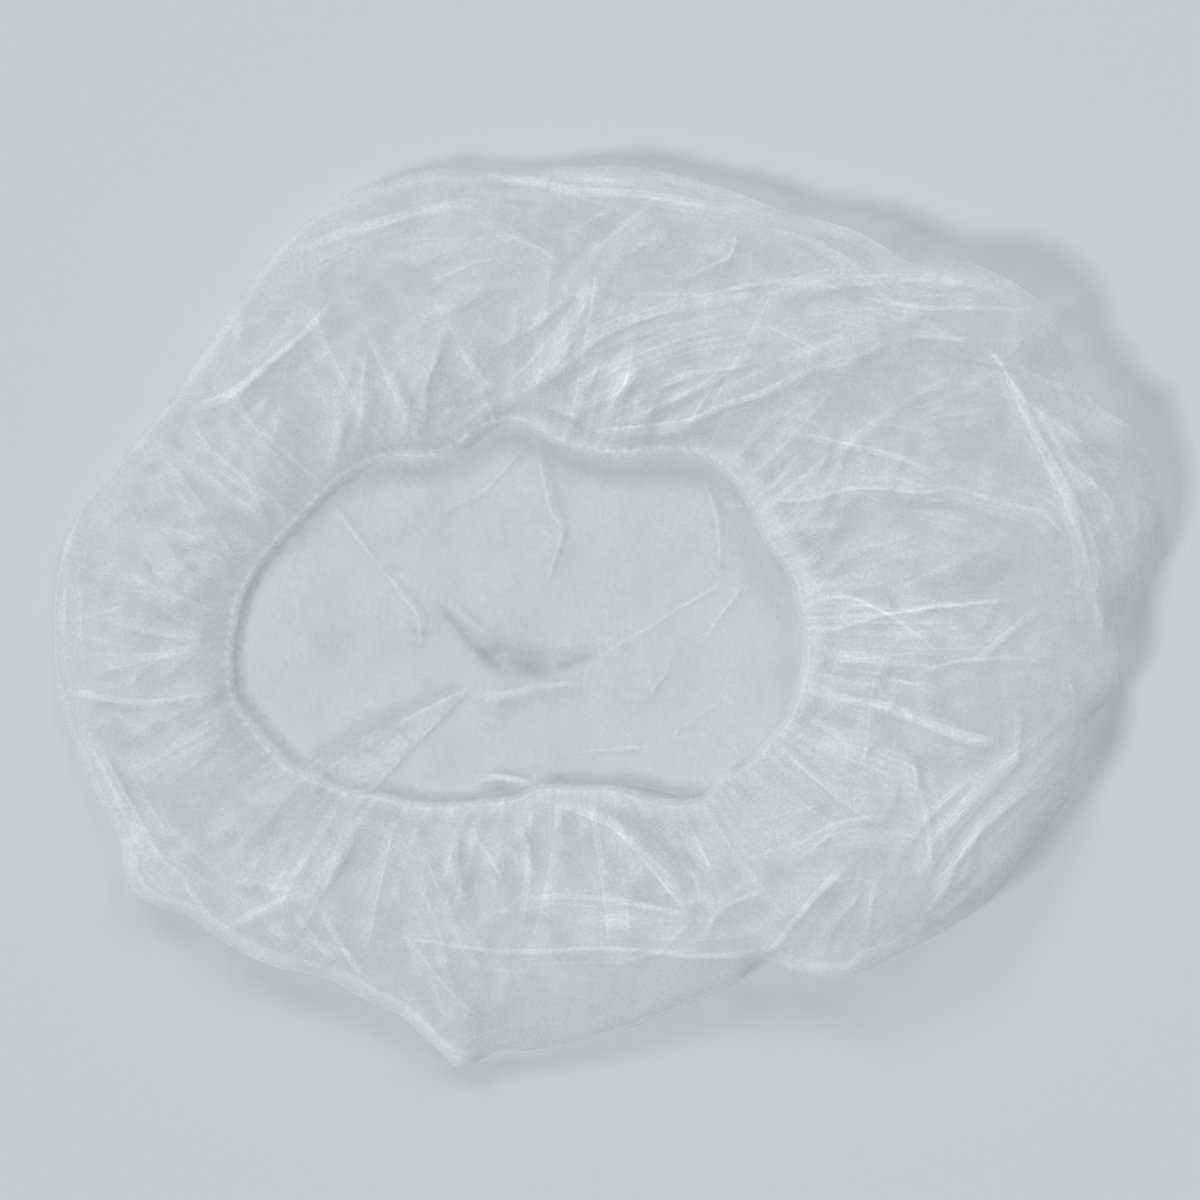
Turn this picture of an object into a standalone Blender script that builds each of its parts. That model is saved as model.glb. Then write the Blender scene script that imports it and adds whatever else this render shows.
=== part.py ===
"""Disposable bouffant cap: one hollow sack of thin nonwoven cloth, gathered at an elastic hem.

The cap lies on its crown with its mouth up. Metres, +Z up. The origin is the middle of the cap's
outline, on the surface that it rests on. +X runs along the cap's length.
"""

from collections import namedtuple
from math import cos, exp, hypot, pi, radians, sin

import bmesh
import bpy

# Sizes of the cap as it lies
CAP_LENGTH = 0.352
CAP_WIDTH = 0.289
PUFF_HEIGHT = 0.036

# Sizes of the mouth
OPENING_LENGTH = 0.184
OPENING_WIDTH = 0.124
HEM_HEIGHT = 0.011
HEM_DIAMETER = 0.004

# Cloth
CLOTH_THICKNESS = 0.001
EDGE_ROUNDING = 0.003
UNDERCUT = 0.9

# Gathers that run out from the hem
GATHER_COUNT = 24
GATHER_DEPTH = 0.0026
GATHER_REACH = 0.014

# Folds pressed into the cloth
FOLD_RISE = 0.007
FOLD_SPREAD = 0.012

# Clearance between the cloth's edge and the hem
FIT_GAP = 0.0003

# Mesh fineness
COLUMNS_PER_GATHER = 4
CROWN_RINGS = (0.11, 0.24, 0.37, 0.50, 0.63, 0.76, 0.89, 1.0)
SIDE_RINGS = (0.35, 0.70, 1.0)
RING_RINGS = (0.07, 0.14, 0.21, 0.28, 0.35, 0.42, 0.49, 0.56, 0.63, 0.70, 0.77, 0.84, 0.90, 0.95, 1.0)

# Sections of the outline. turn: degrees from +X, measured in the cap's own ellipse about the crown's
# middle. reach: share of that ellipse. lift: height of the widest line, a share of PUFF_HEIGHT.
# puff: height that the cloth reaches halfway to the mouth, a share of PUFF_HEIGHT.
Edge = namedtuple("Edge", "turn reach lift puff")
EDGE = (
    Edge(1, 1.05, 0.25, 0.86),
    Edge(7, 1.11, 0.27, 0.88),
    Edge(13, 1.145, 0.30, 0.90),
    Edge(21, 1.155, 0.34, 0.92),
    Edge(27, 1.115, 0.42, 0.95),
    Edge(36, 1.15, 0.50, 0.98),
    Edge(43, 1.13, 0.52, 1.00),
    Edge(50, 1.035, 0.48, 0.96),
    Edge(56, 1.035, 0.42, 0.90),
    Edge(64, 1.01, 0.34, 0.80),
    Edge(73, 1.015, 0.28, 0.72),
    Edge(88, 1.005, 0.26, 0.68),
    Edge(98, 1.00, 0.26, 0.66),
    Edge(110, 1.005, 0.26, 0.60),
    Edge(119, 0.955, 0.28, 0.56),
    Edge(129, 0.89, 0.28, 0.52),
    Edge(142, 0.83, 0.24, 0.46),
    Edge(154, 0.835, 0.16, 0.40),
    Edge(165, 0.875, 0.10, 0.36),
    Edge(182, 0.885, 0.09, 0.34),
    Edge(192, 0.885, 0.10, 0.36),
    Edge(209, 0.90, 0.16, 0.42),
    Edge(221, 0.95, 0.28, 0.52),
    Edge(231, 0.915, 0.34, 0.58),
    Edge(244, 0.885, 0.38, 0.64),
    Edge(253, 0.915, 0.26, 0.60),
    Edge(261, 1.00, 0.15, 0.56),
    Edge(269, 0.96, 0.14, 0.56),
    Edge(281, 0.915, 0.18, 0.60),
    Edge(290, 0.89, 0.26, 0.66),
    Edge(298, 0.855, 0.40, 0.76),
    Edge(305, 0.965, 0.54, 0.90),
    Edge(316, 1.005, 0.58, 1.00),
    Edge(323, 1.025, 0.54, 1.00),
    Edge(329, 1.025, 0.48, 0.98),
    Edge(338, 1.04, 0.38, 0.94),
    Edge(347, 1.02, 0.30, 0.90),
    Edge(355, 1.055, 0.26, 0.87),
)

# Sections of the mouth. turn as above, in the mouth's own ellipse. reach: share of that ellipse.
# lift: height of the hem's middle, a share of HEM_HEIGHT.
Mouth = namedtuple("Mouth", "turn reach lift")
MOUTH = (
    Mouth(10, 0.915, 1.04),
    Mouth(27, 0.90, 1.07),
    Mouth(43, 0.98, 1.09),
    Mouth(55, 1.025, 1.09),
    Mouth(65, 0.975, 1.07),
    Mouth(74, 0.90, 1.05),
    Mouth(84, 0.92, 1.04),
    Mouth(96, 1.045, 1.00),
    Mouth(105, 0.975, 0.95),
    Mouth(115, 0.935, 0.89),
    Mouth(124, 1.01, 0.84),
    Mouth(137, 1.00, 0.80),
    Mouth(149, 0.99, 0.77),
    Mouth(161, 1.015, 0.75),
    Mouth(173, 1.05, 0.73),
    Mouth(188, 1.09, 0.71),
    Mouth(202, 1.145, 0.72),
    Mouth(213, 1.155, 0.78),
    Mouth(227, 1.14, 0.82),
    Mouth(239, 1.07, 0.86),
    Mouth(253, 1.00, 0.90),
    Mouth(265, 0.935, 0.92),
    Mouth(279, 0.895, 0.96),
    Mouth(290, 0.99, 1.00),
    Mouth(298, 1.09, 1.04),
    Mouth(311, 1.05, 1.04),
    Mouth(323, 1.025, 1.00),
    Mouth(335, 0.985, 0.98),
    Mouth(347, 0.95, 0.99),
)

# Folds, each a ridge between two points. The points are shares of CAP_LENGTH and CAP_WIDTH from the
# origin. rise: share of FOLD_RISE. spread: half the ridge's width, a share of FOLD_SPREAD.
Fold = namedtuple("Fold", "along across to_along to_across rise spread")
RING_FOLDS = (
    Fold(-0.093, 0.235, -0.015, 0.345, 0.9, 1.0),
    Fold(-0.015, 0.345, 0.060, 0.450, 0.8, 1.0),
    Fold(-0.110, 0.280, -0.015, 0.370, 0.5, 0.8),
    Fold(-0.070, 0.245, 0.030, 0.330, 0.6, 0.8),
    Fold(0.030, 0.330, 0.235, 0.380, 1.0, 1.0),
    Fold(0.235, 0.380, 0.380, 0.365, 1.0, 1.1),
    Fold(0.015, 0.200, 0.265, 0.310, 1.0, 1.0),
    Fold(0.265, 0.310, 0.350, 0.300, 1.0, 1.0),
    Fold(0.350, 0.300, 0.400, 0.180, 1.0, 1.0),
    Fold(0.400, 0.180, 0.455, -0.025, 0.9, 1.1),
    Fold(0.140, 0.130, 0.400, 0.120, 0.9, 1.0),
    Fold(0.150, 0.225, 0.315, 0.145, 0.6, 0.9),
    Fold(0.185, 0.020, 0.310, -0.045, 0.8, 0.9),
    Fold(0.310, -0.045, 0.395, 0.010, 0.7, 0.9),
    Fold(0.195, -0.085, 0.280, -0.110, 0.9, 0.8),
    Fold(0.300, -0.250, 0.370, -0.170, 0.9, 0.9),
    Fold(0.300, -0.325, 0.405, -0.175, 0.8, 0.9),
    Fold(0.145, -0.380, 0.230, -0.270, 0.9, 0.9),
    Fold(0.125, -0.275, 0.240, -0.225, 0.9, 1.0),
    Fold(0.240, -0.225, 0.300, -0.240, 0.8, 1.0),
    Fold(-0.070, -0.210, 0.030, -0.245, 0.6, 0.9),
    Fold(0.030, -0.245, 0.090, -0.325, 0.9, 0.9),
    Fold(-0.125, -0.310, 0.085, -0.335, 0.8, 1.0),
    Fold(-0.170, -0.360, 0.050, -0.365, 0.6, 0.9),
    Fold(-0.230, -0.215, -0.260, -0.315, 0.7, 0.9),
    Fold(-0.350, -0.355, -0.255, -0.305, 0.7, 1.0),
    Fold(-0.485, -0.085, -0.360, -0.090, 0.6, 0.8),
    Fold(-0.330, -0.105, -0.420, -0.185, 0.6, 0.9),
    Fold(-0.375, 0.230, -0.240, 0.355, 0.8, 1.0),
    Fold(-0.280, 0.405, -0.105, 0.450, 0.8, 1.0),
)
CROWN_FOLDS = (
    Fold(-0.125, -0.075, -0.265, -0.170, 0.40, 1.0),
    Fold(-0.265, -0.170, -0.400, -0.270, 0.30, 1.0),
    Fold(-0.125, -0.075, -0.015, -0.075, 0.40, 0.9),
    Fold(-0.150, 0.025, -0.110, -0.030, 0.30, 0.9),
    Fold(-0.050, -0.015, 0.115, 0.045, 0.30, 0.9),
)

WHITE_NONWOVEN = (0.86, 0.88, 0.90, 1.0)
WHITE_HEM = (0.90, 0.91, 0.93, 1.0)


def at_turn(rows, column, turn):
    """A column's value at a turn in degrees, on a smooth closed curve through the rows."""
    count = len(rows)
    after = next((i for i in range(count) if rows[i].turn > turn), 0)
    picked = [rows[(after + step) % count] for step in (-2, -1, 0, 1)]
    values = [getattr(row, column) for row in picked]
    turns = [turn + (row.turn - turn + 180.0) % 360.0 - 180.0 for row in picked]
    span = turns[2] - turns[1]
    share = (turn - turns[1]) / span
    slope_in = (values[2] - values[0]) / (turns[2] - turns[0]) * span
    slope_out = (values[3] - values[1]) / (turns[3] - turns[1]) * span
    step = values[2] - values[1]
    bend = share * (slope_in + share * (3 * step - 2 * slope_in - slope_out))
    return values[1] + bend + share**3 * (slope_in + slope_out - 2 * step)


def bezier(start, handle_a, handle_b, end, t):
    """A point on a cubic curve, number by number."""
    u = 1.0 - t
    weights = (u * u * u, 3 * u * u * t, 3 * u * t * t, t * t * t)
    return tuple(sum(w * c for w, c in zip(weights, corner)) for corner in zip(start, handle_a, handle_b, end))


def turns_of_columns():
    columns = GATHER_COUNT * COLUMNS_PER_GATHER
    return [360.0 * k / columns for k in range(columns)]


def around(rows, length, width, turn):
    """A point of an outline about the crown's middle, before it is centred on the origin."""
    reach = at_turn(rows, "reach", turn) / 2
    return length * reach * cos(radians(turn)), width * reach * sin(radians(turn))


def crown_middle(turns):
    """Place of the crown's middle that puts the middle of the outline's box at the origin."""
    points = [around(EDGE, CAP_LENGTH, CAP_WIDTH, turn) for turn in turns]
    along = [point[0] for point in points]
    across = [point[1] for point in points]
    return -(max(along) + min(along)) / 2, -(max(across) + min(across)) / 2


def hem_line(turns, middle):
    """Middle line of the hem, one point a column."""
    line = []
    for turn in turns:
        x, y = around(MOUTH, OPENING_LENGTH, OPENING_WIDTH, turn)
        z = HEM_HEIGHT * at_turn(MOUTH, "lift", turn)
        line.append((middle[0] + x, middle[1] + y, z))
    return line


def cloth_edge(line):
    """The cloth's edge round the mouth: outside the hem line, square to it, by the hem and the gap."""
    count = len(line)
    offset = HEM_DIAMETER / 2 + FIT_GAP
    edge = []
    for k, (x, y, z) in enumerate(line):
        ahead = line[(k + 1) % count]
        behind = line[k - 1]
        run_x = ahead[0] - behind[0]
        run_y = ahead[1] - behind[1]
        run = hypot(run_x, run_y)
        edge.append((x + offset * run_y / run, y - offset * run_x / run, z + CLOTH_THICKNESS / 2))
    return edge


def ridge(folds, x, y):
    """Height that the folds add at a point, the highest of them."""
    height = 0.0
    for fold in folds:
        start_x = fold.along * CAP_LENGTH
        start_y = fold.across * CAP_WIDTH
        run_x = fold.to_along * CAP_LENGTH - start_x
        run_y = fold.to_across * CAP_WIDTH - start_y
        share = ((x - start_x) * run_x + (y - start_y) * run_y) / (run_x**2 + run_y**2)
        share = min(1.0, max(0.0, share))
        away = hypot(x - start_x - share * run_x, y - start_y - share * run_y)
        near = max(0.0, 1.0 - away / (fold.spread * FOLD_SPREAD))
        height = max(height, fold.rise * FOLD_RISE * near**1.3)
    return height


def gather(column, from_mouth, puff):
    """Height that the gathers add: waves that start at the hem and die away over the ring."""
    wave = cos(2 * pi * column / COLUMNS_PER_GATHER)
    uneven = 0.75 + 0.25 * cos(2 * pi * 7 * column / (GATHER_COUNT * COLUMNS_PER_GATHER))
    reach = from_mouth / GATHER_REACH
    return GATHER_DEPTH * wave * uneven * puff**0.5 * reach * exp(1.0 - reach)


def section(column, turn, middle, mouth_point):
    """One section of the sack's outer surface, from the crown's middle round the edge to the mouth."""
    out_x, out_y = around(EDGE, CAP_LENGTH, CAP_WIDTH, turn)
    lift = PUFF_HEIGHT * at_turn(EDGE, "lift", turn)
    puff = at_turn(EDGE, "puff", turn)
    reach = hypot(out_x, out_y)
    inset = 1.0 - (EDGE_ROUNDING + UNDERCUT * lift) / reach
    edge = (middle[0] + out_x, middle[1] + out_y, lift)
    foot = (middle[0] + out_x * inset, middle[1] + out_y * inset, 0.0)

    points = []
    for share in CROWN_RINGS:
        x = middle[0] + (foot[0] - middle[0]) * share
        y = middle[1] + (foot[1] - middle[1]) * share
        points.append((x, y, ridge(CROWN_FOLDS, x, y) * min(1.0, 4.0 * (1.0 - share))))
    handle_a = (edge[0], edge[1], 0.0)
    handle_b = (edge[0], edge[1], lift * 0.4)
    points.extend(bezier(foot, handle_a, handle_b, edge, t) for t in SIDE_RINGS)

    crest = (8.0 * PUFF_HEIGHT * puff - lift - mouth_point[2]) / 6.0
    handle_a = (edge[0], edge[1], crest)
    handle_b = tuple(m + 0.35 * (e - m) for m, e in zip(mouth_point[:2], edge[:2])) + (crest,)
    for t in RING_RINGS:
        x, y, z = bezier(edge, handle_a, handle_b, mouth_point, t)
        from_mouth = hypot(x - mouth_point[0], y - mouth_point[1])
        hold = min(1.0, 5.0 * (1.0 - t)) * min(1.0, 5.0 * t)
        z += ridge(RING_FOLDS, x, y) * hold + gather(column, from_mouth, puff)
        points.append((x, y, z))
    return points


def new_material(name, color, roughness):
    material = bpy.data.materials.new(name)
    material.use_nodes = True
    shader = material.node_tree.nodes["Principled BSDF"]
    shader.inputs["Base Color"].default_value = color
    shader.inputs["Roughness"].default_value = roughness
    shader.inputs["Metallic"].default_value = 0.0
    return material


def make_cap_shell(collection, turns, middle, line):
    """The cloth: an open sack lofted through its sections, with its wall grown inwards."""
    mouth_edge = cloth_edge(line)
    bm = bmesh.new()
    columns = []
    for k, turn in enumerate(turns):
        points = section(k, turn, middle, mouth_edge[k])
        columns.append([bm.verts.new(point) for point in points])
    crown = bm.verts.new((middle[0], middle[1], ridge(CROWN_FOLDS, *middle)))
    for k, column in enumerate(columns):
        following = columns[(k + 1) % len(columns)]
        bm.faces.new((crown, following[0], column[0]))
        for ring in range(len(column) - 1):
            bm.faces.new((column[ring], following[ring], following[ring + 1], column[ring + 1]))
    mesh = bpy.data.meshes.new("cap_shell")
    bm.to_mesh(mesh)
    bm.free()
    mesh.shade_smooth()
    shell = bpy.data.objects.new("cap_shell", mesh)
    wall = shell.modifiers.new("Cloth wall", "SOLIDIFY")
    wall.thickness = CLOTH_THICKNESS
    wall.offset = -1.0
    shell.data.materials.append(new_material("white_nonwoven", WHITE_NONWOVEN, 0.9))
    collection.objects.link(shell)


def make_elastic_hem(collection, line):
    """The hem: a round bead that runs the whole way round the mouth."""
    curve = bpy.data.curves.new("elastic_hem", "CURVE")
    curve.dimensions = "3D"
    curve.bevel_depth = HEM_DIAMETER / 2
    curve.bevel_resolution = 2
    spline = curve.splines.new("POLY")
    spline.points.add(len(line) - 1)
    for point, place in zip(spline.points, line):
        point.co = (*place, 1.0)
    spline.use_cyclic_u = True
    spline.use_smooth = True
    curve.materials.append(new_material("white_hem", WHITE_HEM, 0.8))
    collection.objects.link(bpy.data.objects.new("elastic_hem", curve))


def main():
    for old in list(bpy.data.objects):
        bpy.data.objects.remove(old)
    collection = bpy.data.collections.new("bouffant_cap")
    bpy.context.scene.collection.children.link(collection)
    turns = turns_of_columns()
    middle = crown_middle(turns)
    line = hem_line(turns, middle)
    make_cap_shell(collection, turns, middle, line)
    make_elastic_hem(collection, line)


main()
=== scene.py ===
"""Looks of the disposable bouffant cap: see-through nonwoven cloth, its folds, and the gathered hem."""

from collections import namedtuple
from math import cos, pi, radians, sin, tan

import bpy
import numpy as np
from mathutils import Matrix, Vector
from mathutils.geometry import delaunay_2d_cdt


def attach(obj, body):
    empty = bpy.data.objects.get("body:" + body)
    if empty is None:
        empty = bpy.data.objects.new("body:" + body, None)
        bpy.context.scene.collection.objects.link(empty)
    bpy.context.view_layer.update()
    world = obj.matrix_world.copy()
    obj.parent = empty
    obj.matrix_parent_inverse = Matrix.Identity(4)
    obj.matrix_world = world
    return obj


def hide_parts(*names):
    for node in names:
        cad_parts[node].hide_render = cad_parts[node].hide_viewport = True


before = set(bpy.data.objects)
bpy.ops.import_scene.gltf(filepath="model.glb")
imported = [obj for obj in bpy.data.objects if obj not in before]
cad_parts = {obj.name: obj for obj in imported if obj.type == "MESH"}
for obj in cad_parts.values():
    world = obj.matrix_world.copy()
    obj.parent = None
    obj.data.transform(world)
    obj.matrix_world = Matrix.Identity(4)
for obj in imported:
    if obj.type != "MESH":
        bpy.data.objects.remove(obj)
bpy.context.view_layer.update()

# The photograph's frame. Pixels are turned into millimetres on the surface that the cap lies on.
MM = 0.001
PHOTO_SIDE = 1200
MM_PER_PIXEL = 0.32
ORIGIN_PIXEL = (605.0, 617.5)
CROWN_PIXEL = (540.0, 620.0)
RIPPLE_PIXEL = (512, 605)
CAMERA_HEIGHT = 1300.0

# Half axes of the two ellipses that turns are measured in, in pixels
OUTLINE_AXES = (551.0, 451.5)
MOUTH_AXES = (288.5, 193.5)

SEED = 7

# The cap's outline, clockwise from the left, in photo pixels
OUTLINE = (
    (54, 634), (57, 577), (74, 520), (126, 454), (177, 391), (229, 311), (283, 243), (354, 191),
    (400, 175), (431, 169), (466, 171), (509, 171), (580, 166), (637, 167), (703, 181), (780, 209),
    (859, 232), (890, 250), (916, 263), (952, 260), (990, 270), (1024, 289), (1054, 316), (1062, 345),
    (1081, 388), (1105, 410), (1132, 427), (1147, 469), (1156, 508), (1147, 565), (1122, 611),
    (1117, 640), (1120, 670), (1112, 695), (1092, 719), (1086, 757), (1073, 792), (1048, 826),
    (1023, 861), (991, 899), (941, 933), (897, 955), (847, 977), (803, 974), (764, 961), (737, 983),
    (694, 1003), (637, 1026), (580, 1043), (529, 1054), (490, 1056), (460, 1068), (437, 1049),
    (400, 1016), (370, 1003), (330, 980), (270, 965), (220, 940), (189, 917), (143, 900), (126, 877),
    (120, 843), (106, 814), (83, 763), (63, 706), (57, 680),
)

# The middle of the hem round the mouth, clockwise from the left, in photo pixels
MOUTH = (
    (231, 634), (240, 594), (263, 557), (297, 520), (330, 487), (380, 457), (423, 457), (451, 449),
    (480, 429), (503, 419), (529, 423), (551, 437), (580, 447), (614, 453), (651, 450), (683, 449),
    (709, 457), (737, 480), (751, 503), (769, 540), (790, 570), (800, 600), (806, 625), (806, 663),
    (797, 701), (787, 723), (765, 748), (740, 772), (723, 780), (703, 800), (683, 806), (654, 803),
    (614, 791), (580, 791), (540, 789), (514, 800), (489, 803), (457, 806), (414, 806), (380, 797),
    (340, 791), (314, 780), (289, 769), (269, 749), (251, 726), (234, 703), (229, 669),
)

# Heights in mm at turns round the cap: of the widest line, of the cloth halfway to the mouth, and of
# the hem's middle
Height = namedtuple("Height", "turn edge puff hem")
HEIGHTS = (
    Height(0, 9.0, 31.0, 11.2), Height(15, 11.0, 32.5, 11.6), Height(30, 16.0, 34.5, 11.8),
    Height(43, 18.7, 36.0, 12.0), Height(56, 15.0, 32.5, 12.0), Height(73, 10.0, 26.0, 11.6),
    Height(88, 9.4, 24.5, 11.3), Height(100, 9.4, 23.5, 10.8), Height(115, 9.8, 21.0, 9.8),
    Height(129, 10.0, 18.7, 9.0), Height(142, 8.6, 16.5, 8.6), Height(154, 5.8, 14.4, 8.4),
    Height(165, 3.6, 13.0, 8.2), Height(182, 3.3, 12.2, 7.9), Height(195, 3.8, 13.2, 7.9),
    Height(209, 5.8, 15.1, 8.4), Height(221, 10.0, 18.7, 8.9), Height(232, 12.2, 21.0, 9.2),
    Height(244, 13.7, 23.0, 9.6), Height(253, 9.4, 21.6, 9.9), Height(262, 5.4, 20.2, 10.0),
    Height(275, 5.6, 21.0, 10.4), Height(287, 8.5, 23.0, 10.9), Height(298, 14.4, 27.4, 11.4),
    Height(306, 19.4, 32.5, 11.5), Height(318, 20.8, 36.0, 11.3), Height(330, 17.0, 35.3, 10.9),
    Height(345, 11.2, 32.8, 10.9),
)

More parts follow.
